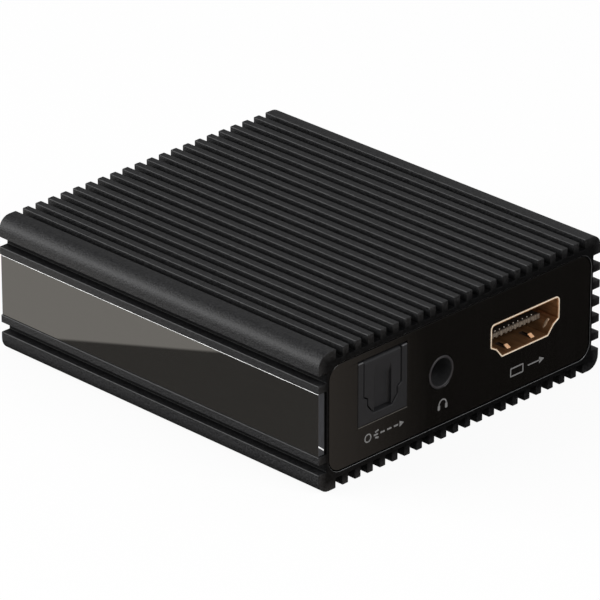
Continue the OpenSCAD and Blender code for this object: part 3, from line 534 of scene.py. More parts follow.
def box_outline(low, high, radius, steps=6):
    """Rounded rectangle that a box, given by two corners, shows to someone who looks along Y."""
    return rounded(rectangle((low + high)[[0, 2]] / 2, *(high - low)[[0, 2]]), radius, steps)


def side_strip():
    """A rectangle with small round edges, carried the length of the box."""
    outline = box_outline(strip_low, strip_high, STRIP_EDGE)
    return build("gloss_side_strip", [carried(outline, strip_low[1], strip_high[1], STRIP_EDGE, STRIP_EDGE)])


def upper_edge(middles, normals):
    """Test for the long edge over the strip's face, whose normals point outwards and up."""
    across, along, upwards = normals
    return (across < -EDGE_SLANT) & (upwards > EDGE_SLANT) & (np.abs(along) < STRIP_END)


def lower_edge(middles, normals):
    """Test for the long edge under the strip's face, which gets the tape's dark foam finish as a painted
    shade. Its normals point outwards and down."""
    across, along, upwards = normals
    return (across < -EDGE_SLANT) & (upwards < -EDGE_SLANT) & (np.abs(along) < STRIP_END)


def strip_ends(middles, normals):
    """Test for the strip's two ends."""
    return np.abs(normals[1]) > 1 - EDGE_SLANT


def end_glint_piece():
    """A thin white wedge, slanting across the strip's end near its foot: a painted glint."""
    start, stop = strip_low[1] - GLINT_RISE, strip_low[1] + STRIP_EDGE
    return build("strip_end_glint", [carried(GLINT_CORNERS + strip_low[[0, 2]], start, stop)])


strip_low, strip_high = node_box("side_inlay")
strip = fit(side_strip(), polished_acrylic(), "box", "gloss_strip", "side_inlay")
# Painted highlight: the upper edge alone gets a pale metal finish.
second_finish(strip, strip_edge_highlight(), upper_edge)
foam = foam_tape()
# Painted shade: the strip's lower edge gets the dark foam finish.
second_finish(strip, foam, lower_edge)
# Partly painted reflection: the ends' bluish grey tone.
second_finish(strip, sawn_end_and_reflection(), strip_ends)
# Painted glint: a white wedge on the strip's end.
fit(end_glint_piece(), painted_end_glint(), "box", "gloss_strip")
coat(foam, "inlay_tape")

# End plates, gloss panels and screws
# A punched steel plate closes each end, held by four countersunk screws, and a sheet of back-painted gloss
# plastic is stuck over plate and screws.
PANEL_FACE = 0.1
PANEL_SHEET = 0.4
PANEL_EDGE = 0.08
PANEL_SHRINK = 0.12
SOCKET_GAP = 0.06
SOCKET_FACE = 0.05
PLATE_BACK = 2.15
OPTICAL_WIDTH = 10.2
OPTICAL_FACE = 10.29
OPTICAL_HEADROOM = 0.28
OPTICAL_CORNER = 0.15
COLLAR_RADIUS = 2.6
PHONE_AXIS = 3.05
VIDEO_RAISE = 1.05
VIDEO_CORNERS = [(5.05, 0), (6.3, 1.5), (7.5, 2.15), (7.5, 5.95)]
VIDEO_RADII = np.array([0.3, 0.3, 0.4, 0.85])
VIDEO_HOLLOWS = np.array([False, True, False, False])
VIDEO_LEAST_RADIUS = 0.08
POWER_NOSE = 3.95
MODE_WINDOW = (5.8, 1.7)
MODE_AXIS = 1.7
LIGHT_RADIUS = 1.0
LIGHT_AXIS = 3.0
SILL_SLANT = 0.1


def from_end(end, depth):
    """Place along Y of a depth measured in from the output end (front) or the input end (rear)."""
    return front + depth if end == "front" else rear - depth


def back_painted_sheet():
    """Clear plastic sheet painted black behind: a flat gloss that is almost black, slightly warm. Faint
    upright drawing marks, 0.5 mm wide, run through its gloss."""
    return grained("back_painted_sheet", "#080706", "#0c0b0a", grain=0.5, stretch=(1, 1, 40),
                   roughness=(0.05, 0.12), IOR=1.5)


def sill_highlight():
    """The sheet's cut edge under the optical socket's window: pale grey plastic, a painted highlight."""
    return grained("sill_highlight", "#484540", "#5a5650", grain=0.3, roughness=(0.3, 0.45))


def painted_plate():
    """Steel sheet with a thin black powder coat, orange-peel grained at half a millimetre."""
    return grained("painted_plate", "#0e0e0f", "#161617", grain=0.5, roughness=(0.45, 0.6), relief=0.01)


def zinc_plated_steel():
    """Bright zinc on machined steel: pale grey metal with turned marks."""
    return grained("zinc_plated_steel", "#8f9092", "#b4b5b7", grain=0.3, stretch=(1, 1, 6),
                   roughness=(0.25, 0.4), Metallic=1.0)


def pierced(name, outer, holes):
    """Closed piece made of an outer sleeve and of holes that run its whole length."""
    sleeves = [outer, *holes]
    return build(name, sleeves, [[(k, row) for k in range(len(sleeves))] for row in (0, -1)])


def gloss_panel(end, name, openings):
    """A rounded rectangle of sheet, pierced by the outlines of its openings."""
    start, stop = from_end(end, PANEL_FACE), from_end(end, PANEL_FACE + PANEL_SHEET)
    outer = carried(panel_outline(-PANEL_SHRINK), start, stop, PANEL_EDGE, PANEL_EDGE)
    holes = [carried(opening, start, stop, PANEL_EDGE, hole=True) for opening in openings]
    return pierced(name, outer, holes)


def middle_x(name):
    """Place across the box of a node's middle."""
    low, high = node_box(name)
    return (low[0] + high[0]) / 2


def video_outline(place, grow=0.0):
    """Outline of a video socket: flat foot, slanted shoulders and upright sides, wider all round by grow.
    Its hollow corners get tighter as the others get wider."""
    corners = inset(mirrored(VIDEO_CORNERS), -grow)
    half = np.maximum(VIDEO_RADII + np.where(VIDEO_HOLLOWS, -grow, grow), VIDEO_LEAST_RADIUS)
    return rounded(corners, np.concatenate([half, half[::-1]])) + [place, socket_foot]


def window_sill(middles, normals):
    """Test for the lower edge of the optical socket's window."""
    beside = np.abs(middles[0] - optical_x) < OPTICAL_WIDTH / 2
    return beside & (np.abs(middles[2] - board_top) < 2 * PANEL_EDGE) & (normals[2] > SILL_SLANT)


board_top = board_high[2]
socket_foot = board_top + VIDEO_RAISE
optical_x, phone_x = middle_x("optical_body"), middle_x("headphone_body")
video_out_x, video_in_x = middle_x("video_out_shell"), middle_x("video_in_shell")
power_x, mode_x = middle_x("power_inlet_pin"), middle_x("mode_switch_can")
light_x = middle_x("light_holder")
optical_middle = (optical_x, board_top + (OPTICAL_FACE + OPTICAL_HEADROOM) / 2)
phone_middle = (phone_x, board_top + PHONE_AXIS)
power_low, power_high = node_box("power_inlet_body")
power_middle = (power_x, (power_low[2] + power_high[2]) / 2)
mode_middle = (mode_x, board_top + MODE_AXIS)
light_middle = (light_x, board_top + LIGHT_AXIS)
optical_window = rectangle(optical_middle, OPTICAL_WIDTH + 2 * SOCKET_GAP,
                           OPTICAL_FACE + OPTICAL_HEADROOM + 2 * SOCKET_GAP)
sheet_black = back_painted_sheet()
output_panel = gloss_panel("front", "output_gloss_panel", [
    rounded(optical_window, OPTICAL_CORNER),
    circle(phone_middle, COLLAR_RADIUS + SOCKET_GAP),
    video_outline(video_out_x, SOCKET_GAP)])
input_panel = gloss_panel("rear", "input_gloss_panel", [
    video_outline(video_in_x, SOCKET_GAP),
    circle(power_middle, POWER_NOSE + SOCKET_GAP),
    rounded(rectangle(mode_middle, *MODE_WINDOW), OPTICAL_CORNER),
    circle(light_middle, LIGHT_RADIUS + SOCKET_GAP, steps=32)])
fit(output_panel, sheet_black, "box", "gloss_panel", "front_overlay")
fit(input_panel, sheet_black, "box", "gloss_panel", "rear_overlay")
# Painted highlight: the window's lower edge gets a pale grey finish.
second_finish(output_panel, sill_highlight(), window_sill)
coat(painted_plate(), "front_plate", "rear_plate")
coat(zinc_plated_steel(), "front_screws", "rear_screws")

# Optical socket
# A square moulding with a plug cavity, closed by a flap of the same plastic that hangs on a steel pin and is
# pushed shut by a leaf spring. A red light source sits in a well at its back.
SLOT_CORNERS = np.array([(1.95, 1.45), (3.15, 2.85), (3.15, 3.95), (3.95, 4.45)])
SLOT_TOP = 3.95
SLOT_ROOF = 0.5
SLOT_DEPTH = 10.0
SLOT_RADIUS = 0.1
WELL_DEPTH = 11.0
WELL_SIZE = (5.2, 7.6)
EMITTER_BORE = 1.3
EMITTER_AXIS = 4.94
OPTICAL_EDGE = 0.16
OPTICAL_BEVEL = 0.2
FLAP_GAP = 0.18
FLAP_FACE = 0.15
FLAP_THICKNESS = 1.0
FLAP_EDGE = 0.06
HINGE_SHARE = 0.6
RECESS_WIDTH = 3.6
RECESS_DEPTH = 0.72
RECESS_FILLET = 0.45
RECESS_TOP = 1.2
RECESS_RAMP = 2.3
PRONG_SLANT = 0.2


def moulded_nylon():
    """Glass-filled nylon, injection moulded: matt dark grey with spark-eroded grain, drawn at 0.2 mm."""
    return grained("moulded_nylon", "#1d1d1f", "#252527", grain=0.2, roughness=(0.5, 0.62), relief=0.004,
                   Specular_IOR_Level=0.3)


def spring_bronze():
    """Rolled phosphor bronze strip: warm metal with fine lengthwise rolling lines."""
    return grained("spring_bronze", "#a8814d", "#c2a06a", grain=0.1, stretch=(1, 20, 1),
                   roughness=(0.25, 0.38), Metallic=1.0)


def ground_steel():
    """Ground steel pin: bright grey, with grinding rings round it."""
    return grained("ground_steel", "#a2a3a6", "#bdbec1", grain=0.05, stretch=(1, 20, 20),
                   roughness=(0.15, 0.25), Metallic=1.0)


def ruby_epoxy():
    """Cast red epoxy of the light source: glossy, deep red, slightly cloudy."""
    return grained("ruby_epoxy", "#4c0c0e", "#6e1416", grain=0.8, roughness=(0.1, 0.2), IOR=1.55)


def slot_outline(top, inward=0.0):
    """Outline of the plug cavity: flat foot, slanted corners, shoulders, straight sides up to the top."""
    half = np.concatenate([SLOT_CORNERS, [(SLOT_TOP, top)]])
    return rounded(inset(mirrored(half), inward), SLOT_RADIUS) + [optical_x, board_top]


def optical_moulding():
    """Face ring open at its top, block with the plug cavity, and a well at the back that is open below."""
    roof = optical_high[2] - board_top
    side = (optical_high[0] - optical_low[0]) / 2
    ring = [(-side, 0), (side, 0), (side, OPTICAL_FACE), (SLOT_TOP, OPTICAL_FACE)]
    ring += [*SLOT_CORNERS[::-1].tolist(), *(SLOT_CORNERS * [-1, 1]).tolist()]
    ring += [(-SLOT_TOP, OPTICAL_FACE), (-side, OPTICAL_FACE)]
    bends = np.full(len(ring), SLOT_RADIUS)
    bends[[2, 3, -2, -1]] = OPTICAL_BEVEL
    place = np.array([optical_x, board_top])
    block = rounded(rectangle((0, roof / 2), 2 * side, roof), OPTICAL_CORNER) + place
    bore = circle(place + [0, EMITTER_AXIS], EMITTER_BORE, steps=32)
    half_well = WELL_SIZE[0] / 2
    well = mirrored([(half_well, WELL_SIZE[1]), (half_well, 0), (side, 0), (side, roof)])
    well = np.roll(well, 1, axis=0)
    sleeves = [
        carried(rounded(ring, bends) + place, front + SOCKET_FACE, front + PLATE_BACK, OPTICAL_EDGE),
        carried(block, front + PLATE_BACK, front + WELL_DEPTH, OPTICAL_EDGE),
        carried(slot_outline(roof - SLOT_ROOF), front + PLATE_BACK, front + SLOT_DEPTH, hole=True),
        carried(bore, front + SLOT_DEPTH, front + WELL_DEPTH, hole=True),
        carried(rounded(well[::-1], SLOT_RADIUS)[::-1] + place, front + WELL_DEPTH, optical_high[1])]
    caps = [[(0, 0)], [(0, -1)], [(1, 0), (2, 0)], [(2, -1), (3, 0)], [(1, -1), (3, -1)],
            [(4, 0)], [(4, -1)]]
    return build("optical_socket_body", sleeves, caps)


def cut_away(piece, cutter):
    """Takes the cutter's solid out of the piece and removes the cutter."""
    piece.modifiers.clear()
    cutter.modifiers.clear()
    tool = piece.modifiers.new("cut", "BOOLEAN")
    tool.object = cutter
    tool.solver = "EXACT"
    graph = bpy.context.evaluated_depsgraph_get()
    cut_mesh = bpy.data.meshes.new_from_object(piece.evaluated_get(graph))
    piece.modifiers.clear()
    spare = piece.data
    piece.data = cut_mesh
    bpy.data.meshes.remove(spare)
    bpy.data.objects.remove(cutter)
    return finished(piece)


def optical_flap():
    """A plate with the cavity's outline, rolled round the hinge pin at its top. Its recess has filleted
    sides, a ramp that leads down into it from the top, and an open foot."""
    hinge_z = board_top + OPTICAL_FACE - HINGE_SHARE * FLAP_THICKNESS
    face, back = front + FLAP_FACE, front + FLAP_FACE + FLAP_THICKNESS
    hinge_y = (face + back) / 2
    plate = carried(slot_outline(hinge_z - board_top + FLAP_GAP, FLAP_GAP), face, back, FLAP_EDGE, FLAP_EDGE)
    half = SLOT_TOP - FLAP_GAP
    knuckle = carried(circle((hinge_y, hinge_z), FLAP_THICKNESS / 2, steps=32),
                      optical_x - half, optical_x + half, FLAP_EDGE, FLAP_EDGE)
    flap = build("optical_socket_flap", [plate, knuckle[..., [1, 0, 2]]])
    top = hinge_z - RECESS_TOP + RECESS_FILLET
    foot = board_top + SLOT_CORNERS[0][1] - 2 * RECESS_FILLET
    floor_y, outside = face + RECESS_DEPTH, face - 2 * RECESS_FILLET
    profile = np.array([
        (outside, foot), (floor_y, foot), (floor_y, top - RECESS_RAMP), (face, top), (outside, top)])
    half = RECESS_WIDTH / 2
    recess = carried(profile, optical_x - half, optical_x + half, RECESS_FILLET, RECESS_FILLET, steps=5)
    return cut_away(flap, build("flap_recess", [recess[..., [1, 0, 2]]]))


def prong_top_highlight():
    """The prongs' upper edges: a lighter grey, a painted highlight."""
    return grained("prong_top_highlight", "#4c4c4e", "#5e5e60", grain=0.2, roughness=(0.35, 0.45))


def prong_tops(middles, normals):
    """Test for the rounded upper edges beside the flap, which face forwards and up."""
    high = middles[2] > board_top + OPTICAL_FACE - OPTICAL_EDGE
    slanted = (normals[2] > PRONG_SLANT) & (normals[1] < -PRONG_SLANT)
    return high & (middles[1] < front + PLATE_BACK) & slanted


optical_low, optical_high = node_box("optical_body")
nylon = moulded_nylon()
moulding = fit(optical_moulding(), nylon, "box", "optical_plastic", "optical_body")
# Painted highlight: the prongs' upper edges get a lighter grey.
second_finish(moulding, prong_top_highlight(), prong_tops)
fit(optical_flap(), nylon, "shutter", "optical_plastic", "optical_shutter")
coat(spring_bronze(), "shutter_spring")
coat(ground_steel(), "shutter_pin")
coat(ruby_epoxy(), "optical_emitter")

# Headphone socket
# A black moulding with a round bore for the plug, soldered to the board by its contacts. A thin dark collar,
# turned from nylon, lines the hole in the panel.
COLLAR_MOUTH = 2.2
COLLAR_START = 0.025
COLLAR_EDGE = 0.12
BORE_CONE_END = 5.15
BORE_RADIUS = 1.8
BORE_DEPTH = 14.6
BORE_SLANT = 0.5
PHONE_EDGE = 0.2


def moulded_abs():
    """Black ABS, injection moulded with a fine satin skin."""
    return grained("moulded_abs", "#0d0d0e", "#141415", grain=0.25, roughness=(0.4, 0.55), relief=0.004,
                   Specular_IOR_Level=0.3)


def dyed_nylon():
    """Dark grey nylon collar, turned smooth: it catches a little more light than the panel."""
    return grained("dyed_nylon", "#2a282a", "#333133", grain=0.2, roughness=(0.4, 0.5), relief=0.003)


def tinned_brass():
    """Tin on brass solder feet: soft pale metal with a mottled skin."""
    return grained("tinned_brass", "#a9a59c", "#c4c0b6", grain=0.3, roughness=(0.3, 0.5), relief=0.005,
                   Metallic=1.0)


def turned(middle, profile, steps=64):
    """Sleeve of circles about a line along Y. The profile lists the place along Y and the radius of each."""
    rows = [np.insert(circle(middle, radius, steps), 1, place, axis=1) for place, radius in profile]
    return np.stack(rows)


def headphone_moulding():
    """A square block whose bore narrows in a cone and then runs straight to its flat bottom."""
    low, high = node_box("headphone_body")
    block = carried(box_outline(low, high, PHONE_EDGE), low[1], high[1], 0, PHONE_EDGE)
    bore = turned(phone_middle, [
        (low[1], COLLAR_MOUTH), (front + BORE_CONE_END, BORE_RADIUS), (front + BORE_DEPTH, BORE_RADIUS)])
    return build("headphone_socket_body", [block, bore], [[(0, 0), (1, 0)], [(0, -1)], [(1, -1)]])


def headphone_ring():
    """A ring, rounded at its front edges."""
    start, end = front + COLLAR_START, front + PLATE_BACK
    outer = carried(circle(phone_middle, COLLAR_RADIUS), start, end, COLLAR_EDGE)
    inner = carried(circle(phone_middle, COLLAR_MOUTH), start, end, COLLAR_EDGE, hole=True)
    return pierced("headphone_socket_collar", outer, [inner])


def bore_painted_light():
    """The bore's mouth: dark grey, lighter than the black moulding, as painted light inside the bore."""
    return grained("bore_painted_light", "#232324", "#2e2e2f", grain=0.25, roughness=(0.4, 0.5))


def phone_bore(middles, normals):
    """Test for the bore's walls behind the collar's rounded edge."""
    reach = np.hypot(middles[0] - phone_middle[0], middles[2] - phone_middle[1])
    inside = (reach < COLLAR_MOUTH + COLLAR_EDGE) & (np.abs(normals[1]) < BORE_SLANT)
    return inside & (middles[1] > front + COLLAR_START + COLLAR_EDGE)


socket_abs = moulded_abs()
bore_light_grey = bore_painted_light()
phone_block = fit(headphone_moulding(), socket_abs, "box", "socket_black", "headphone_body")
phone_collar = fit(headphone_ring(), dyed_nylon(), "box", "collar_plastic", "headphone_collar")
# Painted light: the bore's walls behind the collar get a lighter grey.
for piece in (phone_block, phone_collar):
    second_finish(piece, bore_light_grey, phone_bore)
coat(tinned_brass(), "headphone_contacts", "power_inlet_tails")

# Video sockets
# Each is a folded steel shell, gilded, round a moulded tongue that carries two rows of gold contacts.
# Springs cut from the shell's floor and dimples pressed into its slanted sides hold the plug.
SHELL_WALL = 0.35
SHELL_LENGTH = 11.5
SHELL_EDGE = 0.03
RIM_EDGE = 0.05
RIM_WIDTH = 0.19
RIM_DEPTH = 0.1
SPRING_PLACES = (-2.6, 2.6)
SPRING_WIDTH = 0.72
SPRING_PLAY = 0.1
SPRING_START = 0.9
SPRING_LENGTH = 2.6
SPRING_SLOPE = (0.75, 0.42)
SPRING_SHEET = 0.14
SPRING_SINK = 0.32
WINDOW_CUT_OVER = 0.3
WINDOW_MARGIN = np.array([0.01, 0.02, 0.01])
WALL_SLANT = 0.5
SHELL_PAINTED_SHADES = (0.55, 1.7)
DIMPLE_HALVES = np.array([0.25, 0.4, 1.0])
DIMPLE_RISE = 1.45
DIMPLE_DEPTH = 1.35
DIMPLE_PLACE = (5.9, 1.3)
LEG_LENGTH = 1.6
LEG_SHARES = (0.36, 0.8)
TONGUE_SIZE = (11.7, 0.8)
TONGUE_CORNER = 0.06
TONGUE_MIDDLE = 2.25
TONGUE_START = 2.5
TONGUE_BLOCK = 3.0
TONGUE_NOTCH = (0.5, 0.22)
TONGUE_NOSE = 0.3
NOSE_EDGE = 0.1
TONGUE_FIT = 0.03
BLOCK_EDGE = 0.05
PART_SINK = 0.05
CONTACT_PITCH = 1.0
TOP_CONTACTS = 10
LOW_CONTACTS = 9
CONTACT_WIDTH = 0.45
CONTACT_THICKNESS = 0.15
CONTACT_SET_BACK = 0.45
CONTACT_SHOWS = 2.6
BEAD_SIZE = (0.16, 0.18, 0.17)
BEAD_EDGE = 0.06
TAIL_LENGTH = 0.9
TAIL_SIZE = (0.28, 0.2)
SHELL_BACK = SOCKET_FACE + SHELL_LENGTH
BLOCK_START = SHELL_BACK - TONGUE_BLOCK


def gilded_steel():
    """Thin gold over nickel on rolled steel: a brown gold inside, satin from the folding. Painted shade and
    light by height: darker towards the floor, lighter towards the top inside the socket."""
    finish = grained("gilded_steel", "#a6764e", "#c8986c", grain=0.4, stretch=(1, 8, 1),
                     roughness=(0.32, 0.45), Metallic=0.8)
    tree = finish.node_tree
    place = add_node(tree, "ShaderNodeTexCoord").outputs["Object"]
    upwards = add_node(tree, "ShaderNodeSeparateXYZ", {"Vector": place}).outputs["Z"]
    # Painted shade and light: darker at the foot, lighter at the top.
    shade(finish, upwards, (socket_foot, socket_foot + VIDEO_CORNERS[-1][1]), SHELL_PAINTED_SHADES)
    return finish


def sunken_shade_gold():
    """The springs' sunken roots and the walls of their windows: dark brown, a painted shade."""
    return grained("sunken_shade_gold", "#20160e", "#33241a", grain=0.2, roughness=(0.5, 0.65), Metallic=0.3)


def painted_dimple_highlight():
    """The dimples: pale grey-brown, a painted highlight."""
    return grained("painted_dimple_highlight", "#b4987c", "#d0b89c", grain=0.3, roughness=(0.3, 0.4), Metallic=0.4)


def rim_highlight_gold():
    """The shell's mouth: a pale edge, drawn mostly as paint so that it stays light from all sides, a painted
    highlight."""
    return grained("rim_highlight_gold", "#f6dcbc", "#fff0dc", grain=0.4, roughness=(0.3, 0.4), Metallic=0.15)


def spring_tip_highlight():
    """The springs' faces: copper-coloured, brighter and smoother than the shell, a painted highlight."""
    return grained("spring_tip_highlight", "#ffbc88", "#ffdab2", grain=0.2, roughness=(0.3, 0.4), Metallic=0.15)


def contact_gold():
    """Hard gold on the contacts: yellow, bright, slightly brushed."""
    return grained("contact_gold", "#c8a066", "#e0bc84", grain=0.1, stretch=(1, 20, 1),
                   roughness=(0.15, 0.25), Metallic=1.0)


def tongue_plastic():
    """Black glass-filled plastic of the tongue: matt, with pale fibres, drawn at 0.15 mm."""
    return grained("tongue_plastic", "#1a1613", "#241f1b", grain=0.15, roughness=(0.5, 0.65), relief=0.004)


def lit_tongue_nose():
    """The tongue's nose: grey-brown in upright stripes, lighter than the tongue behind it, a painted light
    on its front.
    """
    return grained("lit_tongue_nose", "#3f3832", "#84786a", grain=0.3, stretch=(1, 1, 8),
                   roughness=(0.45, 0.6))


def contact_tip_glints():
    """The beads at the contacts' tips: pale nickel grey, painted glints."""
    return grained("contact_tip_glints", "#d8d0c4", "#f0eae0", grain=0.1, roughness=(0.2, 0.3), Metallic=0.3)


def video_rim(end, place, name):
    """The shell's mouth: a narrow ring with round edges that ends just short of the sheet's inner face."""
    mouth, back = from_end(end, SOCKET_FACE), from_end(end, SOCKET_FACE + RIM_DEPTH)
    inner = carried(video_outline(place, -RIM_WIDTH), mouth, back, RIM_EDGE, hole=True)
    return pierced(name, carried(video_outline(place), mouth, back, RIM_EDGE), [inner])


def slab(low, high, edge=SHELL_EDGE, steps=2):
    """Sleeve of a box between two corners, with rounded edges."""
    low, high = np.minimum(low, high), np.maximum(low, high)
    return carried(box_outline(low, high, edge, steps), low[1], high[1], edge, edge, steps=steps)


def video_shell(end, place, name):
    """Two outlines a sheet apart behind the mouth, with windows for the springs in the floor."""
    start, back = from_end(end, SOCKET_FACE + RIM_DEPTH), from_end(end, SHELL_BACK)
    inner = carried(video_outline(place, -SHELL_WALL), start, back, hole=True)
    shell = pierced(name, carried(video_outline(place), start, back, 0, SHELL_EDGE), [inner])
    low, high = socket_foot - WINDOW_CUT_OVER, floor_top + WINDOW_CUT_OVER
    start, stop = from_end(end, SPRING_START), from_end(end, SPRING_START + SPRING_LENGTH)
    half = SPRING_WIDTH / 2 + SPRING_PLAY
    windows = [slab((place + x - half, start, low), (place + x + half, stop, high)) for x in SPRING_PLACES]
    return cut_away(shell, build("spring_windows", windows))


def sunken_sheet(middles, normals):
    """Test for the springs' faces under the level of the shell's floor."""
    return middles[2] < floor_top - SPRING_SHEET


def window_walls(middles, normals):
    """Test for the walls of the springs' windows in the shell's floor."""
    x, y, z = middles
    aside = np.minimum(np.abs(x - video_out_x), np.abs(x - video_in_x)) - SPRING_PLACES[1]
    depth = rear - np.abs(y) - SPRING_START - SPRING_LENGTH / 2
    off = np.stack([np.abs(aside), np.abs(depth), z - floor_top])
    reach = np.array([SPRING_WIDTH / 2 + SPRING_PLAY, SPRING_LENGTH / 2, 0]) + WINDOW_MARGIN
    return np.all(off < reach[:, None], axis=0) & (np.abs(normals[2]) < WALL_SLANT)


def ellipsoid(middle, half_axes, tilt, steps=(24, 12)):
    """Closed grid of points: cosines and sines of a turn and a rise, times the half axes, tilted about Y."""
    turn = np.linspace(0, 2 * np.pi, steps[0], endpoint=False)
    rise = np.linspace(-DIMPLE_RISE, DIMPLE_RISE, steps[1])[:, None]
    ball = [np.cos(rise) * np.cos(turn), np.sin(rise) + 0 * turn, np.cos(rise) * np.sin(turn)]
    x, y, z = [part * half for part, half in zip(ball, half_axes)]
    return np.array(middle) + np.stack([
        x * math.cos(tilt) - z * math.sin(tilt), y, x * math.sin(tilt) + z * math.cos(tilt)], axis=2)


def video_springs(end, place, name):
    """Floor springs. From near the mouth each slopes up to its free end, over a sunken root at the window's
    bottom."""
    run, rise = SPRING_SLOPE
    start, tip, stop = [from_end(end, SPRING_START + depth) for depth in (0, run, SPRING_LENGTH)]
    slope = np.array([(start, floor_top - SPRING_SHEET), (tip, floor_top + rise - SPRING_SHEET),
                      (tip, floor_top + rise), (start, floor_top)])
    root = floor_top - SPRING_SINK
    pieces = []
    for x in SPRING_PLACES:
        left, right = place + x - SPRING_WIDTH / 2, place + x + SPRING_WIDTH / 2
        pieces.append(carried(slope, left, right)[..., [1, 0, 2]])
        pieces.append(slab((left, start, root), (right, stop, root + SPRING_SHEET)))
    return build(name, pieces)


def video_dimples(end, place, name):
    """Half-sunk ellipsoids on the slanted sides, tilted as the sides are."""
    run, rise = np.subtract(VIDEO_CORNERS[1], VIDEO_CORNERS[0])
    tilt = math.atan2(-run, rise)
    along, upwards = from_end(end, DIMPLE_DEPTH), socket_foot + DIMPLE_PLACE[1]
    return build(name, [
        ellipsoid((place + side * DIMPLE_PLACE[0], along, upwards), DIMPLE_HALVES, side * tilt)
        for side in (-1, 1)], crisp=60)


def video_legs(end, place, name):
    """Four legs of shell sheet that stand on the board."""
    outside = VIDEO_CORNERS[-1][0]
    inside = outside - SHELL_WALL
    legs = []
    for share in LEG_SHARES:
        start = SOCKET_FACE + share * SHELL_LENGTH
        legs += [slab((place + side * inside, from_end(end, start), board_top),
                      (place + side * outside, from_end(end, start + LEG_LENGTH), shoulder_top))
                 for side in (-1, 1)]
    return build(name, legs)


def notched_tongue(place):
    """Outline of the tongue: a flat bar whose underside has a notch for each low contact."""
    half_w, half_h = TONGUE_SIZE[0] / 2, TONGUE_SIZE[1] / 2
    half_notch, notch = TONGUE_NOTCH[0] / 2, TONGUE_NOTCH[1]
    low = [(-half_w, -half_h)]
    for x in spaced(LOW_CONTACTS, CONTACT_PITCH):
        low += [(x - half_notch, -half_h), (x - half_notch, notch - half_h),
                (x + half_notch, notch - half_h), (x + half_notch, -half_h)]
    corners = [*low, (half_w, -half_h), (half_w, half_h), (-half_w, half_h)]
    return rounded(corners, TONGUE_CORNER, steps=3) + [place, tongue_z]


def video_tongue(end, place, name):
    """The tongue behind its nose, and the block that fills the back of the shell."""
    tongue = carried(notched_tongue(place), from_end(end, TONGUE_START + TONGUE_NOSE),
                     from_end(end, BLOCK_START + NOSE_EDGE))
    block = carried(video_outline(place, -SHELL_WALL - TONGUE_FIT), from_end(end, BLOCK_START),
                    from_end(end, SHELL_BACK), BLOCK_EDGE, BLOCK_EDGE)
    return build(name, [tongue, block])


def video_nose(end, place, name):
    """The tongue's first few tenths, rounded at the front."""
    start, stop = from_end(end, TONGUE_START), from_end(end, TONGUE_START + TONGUE_NOSE)
    return build(name, [carried(notched_tongue(place), start, stop, NOSE_EDGE)])


def video_contacts(end, place, name):
    """Two rows of bars on the tongue, and their tails behind the shell."""
    top, bottom = tongue_z + TONGUE_SIZE[1] / 2, tongue_z - TONGUE_SIZE[1] / 2
    half, half_tail, tail = CONTACT_WIDTH / 2, TAIL_SIZE[0] / 2, TAIL_SIZE[1]
    depths = (TONGUE_START + CONTACT_SHOWS, TONGUE_START + 2 * TONGUE_NOSE, BLOCK_START,
              SHELL_BACK, SHELL_BACK + tail, SHELL_BACK + TAIL_LENGTH)
    top_start, low_start, block, back, bend, toe = [from_end(end, depth) for depth in depths]
    bars = [slab((x - half, top_start, top - PART_SINK), (x + half, block, top + CONTACT_THICKNESS))
            for x in spaced(TOP_CONTACTS, CONTACT_PITCH) + place]
    bars += [slab((x - half, low_start, bottom), (x + half, block, bottom + CONTACT_THICKNESS))
             for x in spaced(LOW_CONTACTS, CONTACT_PITCH) + place]
    for x in spaced(TOP_CONTACTS + LOW_CONTACTS, CONTACT_PITCH / 2) + place:
        left, right = x - half_tail, x + half_tail
        bars.append(slab((left, back, board_top), (right, bend, shoulder_top)))
        bars.append(slab((left, back, board_top), (right, toe, board_top + tail)))
    return build(name, bars)


def video_beads(end, place, name):
    """The raised tips of the upper contacts, just behind the tongue's nose."""
    wide, long, high = BEAD_SIZE
    low, start = tongue_z + TONGUE_SIZE[1] / 2, TONGUE_START + CONTACT_SET_BACK
    return build(name, [
        slab((x - wide / 2, from_end(end, start), low - PART_SINK),
             (x + wide / 2, from_end(end, start + long), low + high), BEAD_EDGE, steps=3)
        for x in spaced(TOP_CONTACTS, CONTACT_PITCH) + place])


